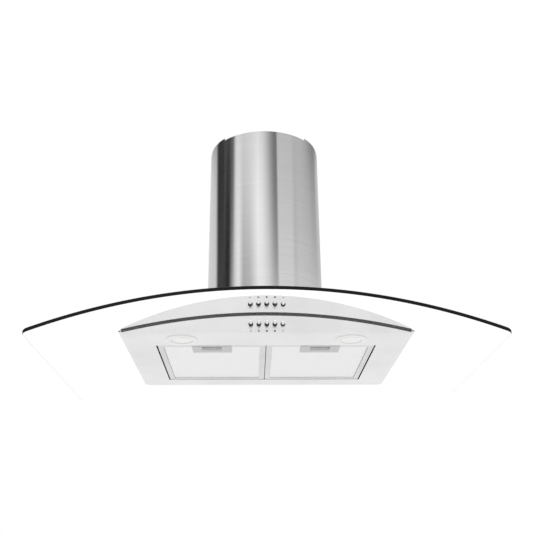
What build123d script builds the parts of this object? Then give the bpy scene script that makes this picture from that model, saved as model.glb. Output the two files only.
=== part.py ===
"""Island range hood with a bent glass canopy, a round telescopic chimney and a twin-inlet blower.

Millimetres. The origin is the centre of the ceiling plate's top face, on the chimney's axis.
+Z is up, -Y is the front with the push buttons, +X is to the right of someone facing the front.
"""

from build123d import *
import os
from math import acos, cos, degrees, radians, sin, sqrt

os.makedirs("parts", exist_ok=True)

# ---- Driving dimensions ----

# Whole hood, chimney closed up
hood_height = 537.0  # ceiling to the underside of the body

# Bent glass canopy
canopy_width = 900.0
glass_overhang = 140.0  # in front of the body
glass_thickness = 7.0
glass_corner = 10.0
arch_radius = 1220.0  # underside of the glass
arch_edge = 4.0  # underside of the glass above the underside of the body, at the body's sides

# Stainless body under the glass
side_strip = 66.25  # steel on both sides of the filters
front_strip = 84.0  # steel in front of the filters, with the lamps
body_sheet = 1.0
body_bend = 2.5
bevel_width = 11.5
bevel_rise = 3.0
seal_height = 3.4
seal_width = 4.0
edge_seal_height = 0.6
seal_gap = 0.25
seal_end = 6.5  # the tall seal stops this far short of the sides

# Opening for the two grease filters
opening_width = 466.5
opening_depth = 287.0
opening_back = 54.0  # from the rear of the body
lip_height = 12.0

# Grease filters
filter_thickness = 9.0
filter_bar = 13.0
filter_sheet = 1.0
filter_side_gap = 1.5
filter_middle_gap = 0.7
filter_front_gap = 0.9
filter_rear_gap = 1.5
filter_recess = 1.0
tab_width = 18.0
tab_thickness = 1.2
tab_reach = 4.5
tab_offset = 70.0
handle_width = 84.0
handle_depth = 46.5
handle_sheet = 0.8
handle_setback = 6.0
tray_height = 7.5
tray_depth = 42.5
tray_side = 2.0
window_width = 42.0
window_depth = 22.5
window_setback = 11.5
latch_travel = 5.0
latch_reach = 2.4
latch_width = 50.0
latch_thickness = 2.0
latch_arm = 3.5
latch_gap = 0.3
tongue_width = 20.0
pull_setback = 25.5
mesh_sheet = 0.6

# Lamps
lamp_inset = 57.75  # from the side of the filter opening
lamp_advance = 39.0  # in front of the filter opening
lamp_radius = 33.25
lamp_lip = 1.8
lamp_bore = 22.0
lamp_sleeve_radius = 28.6
lamp_can_radius = 29.9
lamp_can_top = 21.0

# Push buttons
button_pitch = 16.25
button_height = 19.4
button_radius = 3.6
button_reach = 15.0
button_travel = 5.0
button_dome = 2.2
button_stem_radius = 2.0
bezel_radius = 4.9
bezel_proud = 1.2

# Inner deck over the filters
deck_sheet = 1.0
deck_drop = 9.0  # below the crown of the glass
deck_flat = 86.0  # half width of the level middle
deck_eaves = 15.0
deck_gap = 3.0  # between the deck's walls and the lips of the opening
deck_foot = 12.0

# Chimney tubes
glass_shelf = 16.0  # glass between its hole and the outside of the chimney
chimney_wall = 0.8
chimney_gap = 7.0  # under the ceiling
tube_gap = 0.5
relief_half_angle = 47.0
relief_depth = 10.2
inner_tube_gap = 6.0  # above the seat ring
seat_gap = 0.3

# Seat ring that clamps the glass and centres the chimney
ring_sheet = 2.0
ring_setback = 2.0  # from the edge of the hole in the glass
ring_wall = 1.4
ring_rise = 22.0  # above the crown of the glass's underside
lug_offset = 30.0
lug_reach = 10.0  # screws of the ring inside the hole in the glass
lug_width = 16.0

# Telescopic frame
frame_clearance = 2.32  # between the uprights and the hole in the glass
upright_leg = 20.0
upright_sheet = 1.5
frame_gap = 0.3
lower_upright_gap = 17.0  # under the ceiling
upper_upright_bottom = 60.0
slot_width = 5.6
slot_margin = 19.4  # from the slots to the top of the lower uprights
clamp_low = 75.0  # lower clamp bolt, above the underside of the body
clamp_spacing = 40.0
clamp_radius = 2.5
brace_height = 20.0
brace_low = 145.0
brace_high = 410.0
lower_brace_height = 14.0

# Ceiling plate
plate_gap = 9.9  # between the plate and the inner tube
plate_thickness = 3.0
plate_rim = 8.0
plate_rim_sheet = 1.2
duct_hole_gap = 3.0  # round the duct
ceiling_hole_inset = 22.0  # from the rim of the plate
ceiling_hole_radius = 3.5
cable_hole_radius = 9.0
ear_tab_half = 18.0
ear_lip_reach = 9.0
ear_gap = 0.2

# Blower casing
casing_side_gap = 3.5  # between the casing and the uprights
casing_sheet = 1.0
casing_top = 250.0  # above the underside of the body
casing_foot = 10.0
foot_half_length = 50.0

# Blower
impeller_radius = 60.0
blade_depth = 10.0
impeller_half_width = 44.0
end_ring_sheet = 1.5
disc_sheet = 1.2
blade_count = 36
blade_sheet = 0.8
blade_sweep = 9.0  # degrees
shaft_radius = 4.0
running_gap = 0.06
hub_radius = 9.0
hub_length = 14.0
scroll_start_angle = 70.0
scroll_gap = 3.2  # between the impeller and the tongue of the scroll
scroll_growth = 14.3
scroll_half_width = 48.0
scroll_sheet = 1.0
scroll_y = -4.5
scroll_height = 118.0
partition_height = 190.0
motor_radius = 38.0
motor_near = 8.0
motor_far = 58.0
motor_boss_radius = 12.0

# Duct collar with its flaps
collar_sheet = 1.0
collar_height = 46.0
bead_height = 9.0  # top of the stop bead above the casing
bead_depth = 3.5
pin_radius = 1.5
pin_height = 14.0  # above the casing
flap_gap = 2.5
flap_sheet = 0.8
knuckle_radius = 2.6

# Terminal box on the front of the blower casing
terminal_half_width = 30.0
terminal_depth = 32.0
terminal_bottom = 62.0
terminal_height = 66.0
gland_x = 18.0
gland_bore = 4.5

# Screws
screw_radius = 2.0
screw_head_radius = 3.6
screw_head_height = 2.2
thread_gap = 0.1

# ---- Places worked out from the driving dimensions ----

base = -hood_height  # underside of the body
body_width = opening_width + 2 * side_strip
body_depth = opening_back + opening_depth + front_strip
canopy_depth = body_depth + glass_overhang
arch_rise = arch_edge + arch_radius - sqrt(arch_radius**2 - (body_width / 2) ** 2)
deck_height = arch_rise - deck_drop
ring_top = arch_rise + ring_rise
chimney_top = hood_height - chimney_gap
inner_tube_bottom = ring_top + inner_tube_gap
lower_upright_top = hood_height - lower_upright_gap
body_front = -body_depth / 2
body_rear = body_depth / 2
glass_rear = body_rear
glass_front = glass_rear - canopy_depth
opening_rear = body_rear - opening_back
opening_front = opening_rear - opening_depth
opening_middle = (opening_front + opening_rear) / 2
lamp_offset = opening_width / 2 - lamp_inset
lamp_y = opening_front - lamp_advance
impeller_inner_radius = impeller_radius - blade_depth
scroll_tongue_radius = impeller_radius + scroll_gap
frame_inner = scroll_tongue_radius + scroll_growth + casing_sheet
lower_outer = frame_inner + upright_sheet
upper_inner = lower_outer + frame_gap
upper_outer = upper_inner + upright_sheet
glass_hole_radius = sqrt(2) * upper_outer + frame_clearance
chimney_radius = glass_hole_radius + glass_shelf
ring_inner_radius = glass_hole_radius + ring_setback
lug_radius = glass_hole_radius - lug_reach
tube_inner_radius = chimney_radius - chimney_wall
inner_tube_radius = tube_inner_radius - tube_gap
inner_tube_bore = inner_tube_radius - chimney_wall
plate_radius = inner_tube_bore - plate_gap
casing_half_depth = frame_inner
casing_half_width = frame_inner - casing_side_gap
collar_radius = casing_half_width - casing_sheet
duct_hole_radius = collar_radius + duct_hole_gap
flap_radius = collar_radius - flap_gap
plate_bottom = -plate_thickness


def finish(piece, label):
    """Label a finished piece and write it to its own file."""
    piece.part.label = label
    export_step(piece.part, f"parts/{label}.step")


def arch_height(x, out=0.0):
    """Height at x of the cylinder that lies out mm outside the underside of the glass."""
    return base + arch_rise - arch_radius + sqrt((arch_radius + out) ** 2 - x**2)


def arch_band(half_width, low, high, y=0.0):
    """Upright section at y between two arcs, low and high mm outside the underside of the glass."""
    with BuildSketch(Plane.XZ.offset(-y)) as band:
        with BuildLine():
            arcs = []
            for out in (low, high):
                ends = arch_height(half_width, out)
                crown = (0, arch_height(0, out))
                arcs.append(ThreePointArc((-half_width, ends), crown, (half_width, ends)))
            Line(arcs[0] @ 0, arcs[1] @ 0)
            Line(arcs[0] @ 1, arcs[1] @ 1)
        make_face()
    return band.sketch


def level(height):
    """Horizontal plane at a height above the underside of the body."""
    return Plane.XY.offset(base + height)


def facing_front(x, y, height):
    """Plane at a point, looking out of the front; its own y axis points up."""
    return Plane(origin=(x, y, base + height), x_dir=(1, 0, 0), z_dir=(0, -1, 0))


# ---- Ceiling plate: pressed steel ring with turned-down rims, duct hole and two ear tabs ----

ear_tab_top = -ear_gap - chimney_wall - ear_gap
ear_tab_radius = inner_tube_bore - seat_gap
ear_screw_radius = inner_tube_bore - ear_lip_reach / 2
upright_screw = upper_inner - upright_leg / 2

with BuildPart() as ceiling_plate:
    with BuildSketch(Plane.XY):
        Circle(plate_radius)
        Circle(duct_hole_radius, mode=Mode.SUBTRACT)
    extrude(amount=-plate_thickness)
    with BuildSketch(Plane.XY):
        Circle(plate_radius)
        Circle(plate_radius - plate_rim_sheet, mode=Mode.SUBTRACT)
        Circle(duct_hole_radius + plate_rim_sheet)
        Circle(duct_hole_radius, mode=Mode.SUBTRACT)
    extrude(amount=-plate_thickness - plate_rim)
    with BuildSketch(Plane.XY.offset(ear_tab_top)):
        Circle(ear_tab_radius)
        Rectangle(2 * plate_radius + 2 * ear_tab_radius, 2 * ear_tab_half, mode=Mode.INTERSECT)
        Circle(plate_radius - plate_rim_sheet, mode=Mode.SUBTRACT)
    extrude(amount=plate_bottom - ear_tab_top)
    with Locations(Plane.XY):
        with PolarLocations(plate_radius - ceiling_hole_inset, 4):
            Hole(ceiling_hole_radius)
        with Locations((gland_x, -casing_half_depth - terminal_depth / 2)):
            Hole(cable_hole_radius)
        with GridLocations(2 * upright_screw, 2 * upright_screw, 2, 2):
            Hole(screw_radius + thread_gap)
        with GridLocations(2 * ear_screw_radius, ear_tab_half, 2, 2):
            Hole(screw_radius + thread_gap)
finish(ceiling_plate, "ceiling_plate")


# ---- Upper uprights: four steel angles hung from the ceiling plate ----


def angle_section(plane, outer, leg):
    """L-shaped section with its outer corner at (outer, outer)."""
    with BuildSketch(plane) as section:
        with Locations((outer, outer)):
            Rectangle(leg, leg, align=(Align.MAX, Align.MAX))
        with Locations((outer - upright_sheet, outer - upright_sheet)):
            Rectangle(leg, leg, align=(Align.MAX, Align.MAX), mode=Mode.SUBTRACT)
    return section.sketch


clamp_y = upper_outer - upright_leg / 2
clamp_heights = (clamp_low, clamp_low + clamp_spacing)

with BuildPart() as upper_uprights:
    extrude(
        angle_section(level(upper_upright_bottom), upper_outer, upright_leg),
        amount=plate_bottom - base - upper_upright_bottom,
    )
    with BuildSketch(Plane.XY.offset(plate_bottom)):
        with Locations((upper_outer, upper_outer)):
            Rectangle(upright_leg, upright_leg, align=(Align.MAX, Align.MAX))
    extrude(amount=-upright_sheet)
    with BuildSketch(Plane.XY.offset(plate_bottom)):
        with Locations((upright_screw, upright_screw)):
            Circle(screw_radius + thread_gap)
    extrude(amount=-upright_sheet, mode=Mode.SUBTRACT)
    with BuildSketch(Plane.YZ.offset(upper_inner)):
        with Locations([(clamp_y, base + height) for height in clamp_heights]):
            Circle(clamp_radius + thread_gap)
    extrude(amount=upright_sheet, mode=Mode.SUBTRACT)
    mirror(about=Plane.XZ)
    mirror(about=Plane.YZ)
finish(upper_uprights, "upper_uprights")


# ---- Braces: square hoops of strip steel, one pair welded round the upper uprights, one inside ----


def hoop(plane, outer, height):
    """Square hoop of strip steel standing on a plane."""
    with BuildPart() as strip:
        with BuildSketch(plane):
            Rectangle(2 * outer, 2 * outer)
            Rectangle(2 * (outer - upright_sheet), 2 * (outer - upright_sheet), mode=Mode.SUBTRACT)
        extrude(amount=height)
    return strip.part


with BuildPart() as upper_braces:
    for brace_level in (brace_low, brace_high):
        add(hoop(level(brace_level - brace_height / 2), upper_outer + upright_sheet, brace_height))
finish(upper_braces, "upper_braces")

with BuildPart() as lower_brace:
    add(hoop(level(lower_upright_top - lower_brace_height), frame_inner, lower_brace_height))
finish(lower_brace, "lower_brace")


# ---- Lower uprights: four slotted angles that wrap the corners of the blower casing ----

slot_bottom = clamp_low - clamp_radius - slot_width
slot_top = lower_upright_top - slot_margin
casing_screw_heights = (80.0, 180.0)

with BuildPart() as lower_uprights:
    extrude(
        angle_section(level(deck_height), lower_outer, upright_leg),
        amount=lower_upright_top - deck_height,
    )
    with BuildSketch(Plane.YZ.offset(frame_inner)):
        with Locations((clamp_y, base + (slot_bottom + slot_top) / 2)):
            SlotOverall(slot_top - slot_bottom, slot_width, rotation=90)
    extrude(amount=upright_sheet, mode=Mode.SUBTRACT)
    with BuildSketch(Plane.XZ.offset(-lower_outer)):
        with Locations([(lower_outer - upright_leg / 2, base + height) for height in casing_screw_heights]):
            Circle(screw_radius + thread_gap)
    extrude(amount=upright_sheet, mode=Mode.SUBTRACT)
    mirror(about=Plane.XZ)
    mirror(about=Plane.YZ)
finish(lower_uprights, "lower_uprights")


# ---- Clamp bolts and nuts: they ride on the upper uprights and run in the slots of the lower ones ----

bolt_head_height = 2.0
bolt_head_radius = 5.0
bolt_length = 12.0
nut_radius = 4.6
nut_height = 4.0
washer_sheet = 0.8

with BuildPart() as frame_bolts:
    head_face = frame_inner - seat_gap - bolt_head_height
    for height in clamp_heights:
        with BuildSketch(Plane.YZ.offset(head_face)):
            with Locations((clamp_y, base + height)):
                Circle(bolt_head_radius)
        extrude(amount=bolt_head_height)
        with BuildSketch(Plane.YZ.offset(head_face)):
            with Locations((clamp_y, base + height)):
                Circle(clamp_radius)
        extrude(amount=bolt_length)
    mirror(about=Plane.XZ)
    mirror(about=Plane.YZ)
finish(frame_bolts, "frame_bolts")

with BuildPart() as frame_nuts:
    for height in clamp_heights:
        with BuildSketch(Plane.YZ.offset(upper_outer)):
            with Locations((clamp_y, base + height)):
                Circle(bolt_head_radius)
        extrude(amount=washer_sheet)
        with BuildSketch(Plane.YZ.offset(upper_outer + washer_sheet)):
            with Locations((clamp_y, base + height)):
                RegularPolygon(nut_radius, 6)
        extrude(amount=nut_height)
        with BuildSketch(Plane.YZ.offset(upper_outer)):
            with Locations((clamp_y, base + height)):
                Circle(clamp_radius + thread_gap)
        extrude(amount=washer_sheet + nut_height, mode=Mode.SUBTRACT)
    mirror(about=Plane.XZ)
    mirror(about=Plane.YZ)
finish(frame_nuts, "frame_nuts")


# ---- Screws: one pan-head shape, placed by the plane it is driven into ----


def pan_screw(plane, length):
    """Pan-head screw with its head standing on the plane and its shank below it."""
    with BuildPart() as screw:
        with BuildSketch(plane):
            Circle(screw_head_radius)
        extrude(amount=screw_head_height)
        chamfer(screw.faces().sort_by(Axis(plane.origin, plane.z_dir))[-1].edges(), 0.6)
        with BuildSketch(plane):
            Circle(screw_radius)
        extrude(amount=-length)
    return screw.part


with BuildPart() as ceiling_screws:
    for x in (-upright_screw, upright_screw):
        for y in (-upright_screw, upright_screw):
            under = Plane(origin=(x, y, plate_bottom - upright_sheet), z_dir=(0, 0, -1))
            add(pan_screw(under, upright_sheet + plate_thickness - ear_gap))
finish(ceiling_screws, "ceiling_screws")

with BuildPart() as ear_screws:
    for x in (-ear_screw_radius, ear_screw_radius):
        for y in (-ear_tab_half / 2, ear_tab_half / 2):
            under = Plane(origin=(x, y, plate_bottom), z_dir=(0, 0, -1))
            add(pan_screw(under, plate_thickness - 2 * ear_gap))
finish(ear_screws, "ear_screws")


# ---- Upper chimney: the inner tube; its ears reach the ceiling, its front and rear are relieved ----

relief_half_width = inner_tube_radius * sin(radians(relief_half_angle))

with BuildPart() as upper_chimney:
    with BuildSketch(Plane.XY.offset(-ear_gap)):
        Circle(inner_tube_radius)
        Circle(inner_tube_bore, mode=Mode.SUBTRACT)
    extrude(amount=base + inner_tube_bottom + ear_gap)
    with BuildSketch(Plane.XY):
        Rectangle(2 * relief_half_width, 2 * chimney_radius)
    extrude(amount=-relief_depth, mode=Mode.SUBTRACT)
    with BuildSketch(Plane.XY.offset(-ear_gap)):
        Circle(inner_tube_bore + chimney_wall / 2)
        Circle(inner_tube_bore - ear_lip_reach, mode=Mode.SUBTRACT)
        Rectangle(2 * chimney_radius, 2 * ear_tab_half, mode=Mode.INTERSECT)
        with GridLocations(2 * ear_screw_radius, ear_tab_half, 2, 2):
            Circle(screw_radius + thread_gap, mode=Mode.SUBTRACT)
    extrude(amount=-chimney_wall)
finish(upper_chimney, "upper_chimney")


# ---- Lower chimney: the outer tube, its foot cut to sit on the bent glass ----

ring_underside = glass_thickness + seat_gap
chimney_screw_height = ring_top - 6.0
chimney_screw_angle = 35.0  # from the rear


def radial_plane(angle, radius, height):
    """Vertical plane on a radius of the chimney, facing outwards; angle is counted from +X."""
    direction = (cos(radians(angle)), sin(radians(angle)), 0)
    return Plane(
        origin=(radius * direction[0], radius * direction[1], base + height), z_dir=direction
    )


chimney_screw_angles = (90.0 - chimney_screw_angle, 90.0 + chimney_screw_angle)

with BuildPart() as lower_chimney:
    with BuildSketch(level(chimney_top)):
        Circle(chimney_radius)
        Circle(tube_inner_radius, mode=Mode.SUBTRACT)
    extrude(amount=-chimney_top)
    extrude(
        arch_band(1.5 * chimney_radius, -arch_rise, ring_underside),
        amount=1.5 * chimney_radius,
        both=True,
        mode=Mode.SUBTRACT,
    )
    for angle in chimney_screw_angles:
        with BuildSketch(radial_plane(angle, tube_inner_radius - 1, chimney_screw_height)):
            Circle(screw_radius + thread_gap)
        extrude(amount=3 * chimney_wall, mode=Mode.SUBTRACT)
finish(lower_chimney, "lower_chimney")


# ---- Seat ring: saddle-shaped flange clamping the glass, with an upstand inside the chimney ----

ring_radius = tube_inner_radius - seat_gap

with BuildPart() as seat_ring:
    extrude(
        arch_band(chimney_radius, ring_underside, ring_underside + ring_sheet),
        amount=chimney_radius,
        both=True,
    )
    with BuildSketch(level(0)):
        Circle(ring_radius)
        Circle(ring_inner_radius, mode=Mode.SUBTRACT)
        with GridLocations(2 * lug_offset, 2 * (lug_radius + lug_width / 2), 2, 2):
            Rectangle(lug_width, 2 * lug_width)
        with GridLocations(2 * lug_offset, 2 * lug_radius, 2, 2):
            Circle(screw_radius + thread_gap, mode=Mode.SUBTRACT)
    extrude(amount=2 * ring_top, mode=Mode.INTERSECT)
    with BuildPart(mode=Mode.PRIVATE) as upstand:
        with BuildSketch(level(ring_top)):
            Circle(ring_radius)
            Circle(ring_radius - ring_wall, mode=Mode.SUBTRACT)
        extrude(amount=-ring_top)
        extrude(
            arch_band(1.5 * chimney_radius, -arch_rise, ring_underside),
            amount=1.5 * chimney_radius,
            both=True,
            mode=Mode.SUBTRACT,
        )
    add(upstand.part)
    for angle in chimney_screw_angles:
        with BuildSketch(radial_plane(angle, ring_radius - 2 * ring_wall, chimney_screw_height)):
            Circle(screw_radius + thread_gap)
        extrude(amount=3 * ring_wall, mode=Mode.SUBTRACT)
finish(seat_ring, "seat_ring")

with BuildPart() as chimney_screws:
    for angle in chimney_screw_angles:
        outside = radial_plane(angle, chimney_radius + 0.15, chimney_screw_height)
        add(pan_screw(outside, chimney_wall + ring_wall + seat_gap + 1))
finish(chimney_screws, "chimney_screws")


# ---- Ring screws with their nuts and spacers: they pull the ring down on the glass ----

lug_top = arch_height(lug_offset - screw_head_radius, ring_underside + ring_sheet) - base + 0.02
ring_nut_height = 3.2
spacer_radius = 4.2
lug_bottom = arch_height(lug_offset + spacer_radius, ring_underside) - base - 0.02

with BuildPart() as ring_screws:
    for x in (-lug_offset, lug_offset):
        for y in (-lug_radius, lug_radius):
            top = Plane(origin=(x, y, base + lug_top))
            add(pan_screw(top, lug_top - deck_height + deck_sheet + ring_nut_height + 2))
            with BuildSketch(level(deck_height - deck_sheet)):
                with Locations((x, y)):
                    RegularPolygon(screw_head_radius, 6)
                    Circle(screw_radius + thread_gap, mode=Mode.SUBTRACT)
            extrude(amount=-ring_nut_height)
finish(ring_screws, "ring_screws")

with BuildPart() as ring_spacers:
    with BuildSketch(level(deck_height)):
        with GridLocations(2 * lug_offset, 2 * lug_radius, 2, 2):
            Circle(spacer_radius)
            Circle(screw_radius + thread_gap, mode=Mode.SUBTRACT)
    extrude(amount=lug_bottom - deck_height)
finish(ring_spacers, "ring_spacers")


# ---- Glass canopy: one sheet of toughened glass bent about the Y axis, drooping to both sides ----

with BuildPart() as glass_canopy:
    extrude(arch_band(0.51 * canopy_width, 0, glass_thickness), amount=canopy_depth, both=True)
    with BuildSketch(Plane.XY):
        with Locations((0, (glass_front + glass_rear) / 2)):
            RectangleRounded(canopy_width, canopy_depth, glass_corner)
        Circle(glass_hole_radius, mode=Mode.SUBTRACT)
    extrude(amount=2 * base, mode=Mode.INTERSECT)
finish(glass_canopy, "glass_canopy")


# ---- Body shell: folded stainless tray, its front carries the buttons ----

half_width = body_width / 2
half_flat = half_width - bevel_width
lip_outer_width = opening_width + 2 * body_sheet
lip_outer_depth = opening_depth + 2 * body_sheet
button_xs = [button_pitch * step for step in (-2, -1, 0, 1, 2)]
filter_width = (opening_width - filter_middle_gap) / 2 - filter_side_gap
filter_depth = opening_depth - filter_front_gap - filter_rear_gap
filter_x = (filter_width + filter_middle_gap) / 2
filter_front = opening_front + filter_front_gap
filter_rear = filter_front + filter_depth
latch_middle = filter_recess + filter_thickness / 2
tab_height = filter_recess + filter_thickness / 2 - 1.5


def tray_section(inset):
    """Section of the tray in the XZ plane: flat bottom, bevelled sides, arched top."""
    slope = bevel_rise / bevel_width
    lift = inset * sqrt(1 + slope**2)
    flat = half_flat - (lift - inset) / slope
    side = half_width - inset
    rise = bevel_rise - inset * slope + lift if inset else bevel_rise
    top = arch_height(side, -edge_seal_height - seal_gap)
    crown = arch_height(0, -edge_seal_height - seal_gap)
    with BuildSketch(Plane.XZ) as section:
        with BuildLine():
            Polyline((-side, base + rise), (-flat, base + inset), (flat, base + inset), (side, base + rise))
            Line((side, base + rise), (side, top))
            ThreePointArc((side, top), (0, crown), (-side, top))
            Line((-side, top), (-side, base + rise))
        make_face()
    return section.sketch


with BuildPart() as body_shell:
    extrude(tray_section(0), amount=body_depth / 2, both=True)
    fillet(body_shell.edges().filter_by(Axis.X).group_by(Axis.Z)[0], body_bend)
    with BuildPart(mode=Mode.PRIVATE) as hollow:
        extrude(tray_section(body_sheet), amount=body_depth / 2 - body_sheet, both=True)
        extrude(
            arch_band(half_width - 2 * body_sheet, -body_sheet, arch_rise),
            amount=body_depth / 2 - body_sheet,
            both=True,
        )
    add(hollow.part, mode=Mode.SUBTRACT)
    extrude(
        arch_band(half_width - seal_end, -seal_height - seal_gap, arch_rise),
        amount=body_depth,
        both=True,
        mode=Mode.SUBTRACT,
    )
    with BuildSketch(level(0)):
        with Locations((0, opening_middle)):
            Rectangle(lip_outer_width, lip_outer_depth)
    extrude(amount=lip_height)
    with BuildSketch(level(0)):
        with Locations((0, opening_middle)):
            Rectangle(opening_width, opening_depth)
        with Locations(
            (-lamp_offset, lamp_y), (lamp_offset, lamp_y)
        ):
            Circle(lamp_sleeve_radius + seat_gap)
    extrude(amount=lip_height, mode=Mode.SUBTRACT)
    with BuildSketch(facing_front(0, body_front, button_height)):
        with Locations([(x, 0) for x in button_xs]):
            Circle(bezel_radius - 0.4)
    extrude(amount=-body_sheet, mode=Mode.SUBTRACT)
    for side in (-1, 1):
        with BuildSketch(facing_front(side * filter_x, opening_front, latch_middle)):
            Rectangle(tongue_width + 2, latch_thickness + 2 * latch_gap)
        extrude(amount=body_sheet, mode=Mode.SUBTRACT)
        for shift in (-tab_offset, tab_offset):
            with BuildSketch(level(tab_height - seat_gap)):
                with Locations((side * filter_x + shift, opening_rear + body_sheet / 2)):
                    Rectangle(tab_width + 4, 2 * body_sheet)
            extrude(amount=lip_height, mode=Mode.SUBTRACT)
finish(body_shell, "body_shell")


# ---- Glass seal: dark gasket between the folded edge of the body and the glass ----

seal_half_width = half_width - seal_end

with BuildPart() as glass_seal:
    extrude(arch_band(seal_half_width, -seal_height, -seal_gap), amount=body_depth / 2, both=True)
    with BuildSketch(level(0)):
        Rectangle(body_width, body_depth)
        Rectangle(body_width + 1, body_depth - 2 * seal_width, mode=Mode.SUBTRACT)
    extrude(amount=2 * arch_rise, mode=Mode.INTERSECT)
    with BuildPart(mode=Mode.PRIVATE) as edge_seal:
        extrude(
            arch_band(half_width, -edge_seal_height, -seal_gap), amount=body_depth / 2, both=True
        )
        with BuildSketch(level(-arch_rise)):
            Rectangle(body_width, body_depth)
            Rectangle(2 * seal_half_width, body_depth + 1, mode=Mode.SUBTRACT)
        extrude(amount=3 * arch_rise, mode=Mode.INTERSECT)
    add(edge_seal.part)
finish(glass_seal, "glass_seal")


# ---- Inner deck: folded galvanised plenum, spot-welded round the opening, carries the blower ----

deck_half_width = opening_width / 2 + body_sheet + deck_gap + deck_sheet
deck_front = opening_front - body_sheet - deck_gap - deck_sheet
deck_rear = opening_rear + body_sheet + deck_gap + deck_sheet
casing_screw_x = casing_half_width + casing_foot / 2 + 0.5
casing_screw_y = 35.0


def deck_section(inset, y):
    """Upright section of the deck at y; the inset one runs out below, which leaves the deck open."""
    side = (deck_half_width - inset, base + body_sheet - 2 * inset)
    pitch = sqrt(1 + ((deck_height - deck_eaves) / (deck_half_width - deck_flat)) ** 2)
    eaves = (deck_half_width - inset, base + deck_eaves - inset * pitch)
    ridge = (deck_flat, base + deck_height - inset)
    with BuildSketch(Plane.XZ.offset(-y)) as section:
        with BuildLine():
            Polyline(
                side, eaves, ridge, (-ridge[0], ridge[1]), (-eaves[0], eaves[1]), (-side[0], side[1]), side
            )
        make_face()
    return section.sketch


with BuildPart() as plenum_deck:
    extrude(deck_section(0, deck_rear), amount=deck_rear - deck_front)
    with BuildSketch(level(body_sheet)):
        with Locations((0, (deck_front + deck_rear + deck_foot) / 2)):
            Rectangle(2 * (deck_half_width + deck_foot), deck_rear - deck_front + deck_foot)
    extrude(amount=deck_sheet)
    extrude(
        deck_section(deck_sheet, deck_rear - deck_sheet),
        amount=deck_rear - deck_front - 2 * deck_sheet,
        mode=Mode.SUBTRACT,
    )
    with BuildSketch(level(deck_height)):
        Rectangle(2 * (casing_half_width - 5), 2 * (casing_half_depth - 5))
        with GridLocations(2 * lug_offset, 2 * lug_radius, 2, 2):
            Circle(screw_radius + thread_gap)
        with GridLocations(2 * casing_screw_x, 2 * casing_screw_y, 2, 2):
            Circle(screw_radius + thread_gap)
    extrude(amount=-2 * deck_sheet, mode=Mode.SUBTRACT)
finish(plenum_deck, "plenum_deck")


# ---- Blower casing: square steel box on the deck, open below, with a round outlet on top ----

collar_screw = 66.0
collar_flange = casing_half_width - casing_sheet

with BuildPart() as blower_casing:
    with BuildSketch(level(deck_height)):
        Rectangle(2 * casing_half_width, 2 * casing_half_depth)
    extrude(amount=casing_top - deck_height)
    with BuildSketch(level(deck_height)):
        Rectangle(2 * (casing_half_width - casing_sheet), 2 * (casing_half_depth - casing_sheet))
    extrude(amount=casing_top - deck_height - casing_sheet, mode=Mode.SUBTRACT)
    with BuildSketch(level(deck_height)):
        for side in (-1, 1):
            with Locations((side * (casing_half_width + casing_foot / 2), 0)):
                Rectangle(casing_foot, 2 * foot_half_length)
        with GridLocations(2 * casing_screw_x, 2 * casing_screw_y, 2, 2):
            Circle(screw_radius + thread_gap, mode=Mode.SUBTRACT)
    extrude(amount=casing_sheet)
    with BuildSketch(level(casing_top)):
        Circle(collar_radius - collar_sheet)
        with GridLocations(2 * collar_screw, 2 * collar_screw, 2, 2):
            Circle(screw_radius + thread_gap)
    extrude(amount=-casing_sheet, mode=Mode.SUBTRACT)
    with BuildSketch(Plane.XZ):
        for side in (-1, 1):
            with Locations(
                [(side * (lower_outer - upright_leg / 2), base + height) for height in casing_screw_heights]
            ):
                Circle(screw_radius + thread_gap)
    extrude(amount=2 * casing_half_depth, both=True, mode=Mode.SUBTRACT)
finish(blower_casing, "blower_casing")

with BuildPart() as housing_screws:
    for x in (-casing_screw_x, casing_screw_x):
        for y in (-casing_screw_y, casing_screw_y):
            add(pan_screw(Plane(origin=(x, y, base + deck_height + casing_sheet)), 8))
    for x in (-collar_screw, collar_screw):
        for y in (-collar_screw, collar_screw):
            add(pan_screw(Plane(origin=(x, y, base + casing_top + collar_sheet)), 6))
    for x in (upright_leg / 2 - lower_outer, lower_outer - upright_leg / 2):
        for side in (-1, 1):
            for height in casing_screw_heights:
                inside = Plane(
                    origin=(x, side * (casing_half_depth - casing_sheet), base + height),
                    z_dir=(0, -side, 0),
                )
                add(pan_screw(inside, casing_sheet + upright_sheet))
finish(housing_screws, "housing_screws")


# ---- Scroll housing: spiral case hung from a partition plate, its outlet blows up through it ----


partition_z = base + partition_height
tongue_y = scroll_tongue_radius * cos(radians(scroll_start_angle))
outlet_y = scroll_tongue_radius + scroll_growth


def scroll_section(inset):
    """Section in the YZ plane: a spiral growing the way the impeller turns, with its outlet going up."""
    first = scroll_tongue_radius - inset
    start = degrees(acos((tongue_y + inset) / first))
    points = []
    for step in range(11):
        angle = radians(start + (360.0 - start) * step / 10)
        radius = first + scroll_growth * step / 10
        points.append((scroll_y + radius * cos(angle), base + scroll_height + radius * sin(angle)))
    with BuildSketch(Plane.YZ) as section:
        with BuildLine():
            Spline(points)
            outlet_top = [(points[-1][0], partition_z), (points[0][0], partition_z)]
            Polyline(points[-1], *outlet_top, points[0])
        make_face()
    return section.sketch


partition_half_width = casing_half_width - casing_sheet - seat_gap
partition_half_depth = casing_half_depth - casing_sheet - seat_gap

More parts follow.
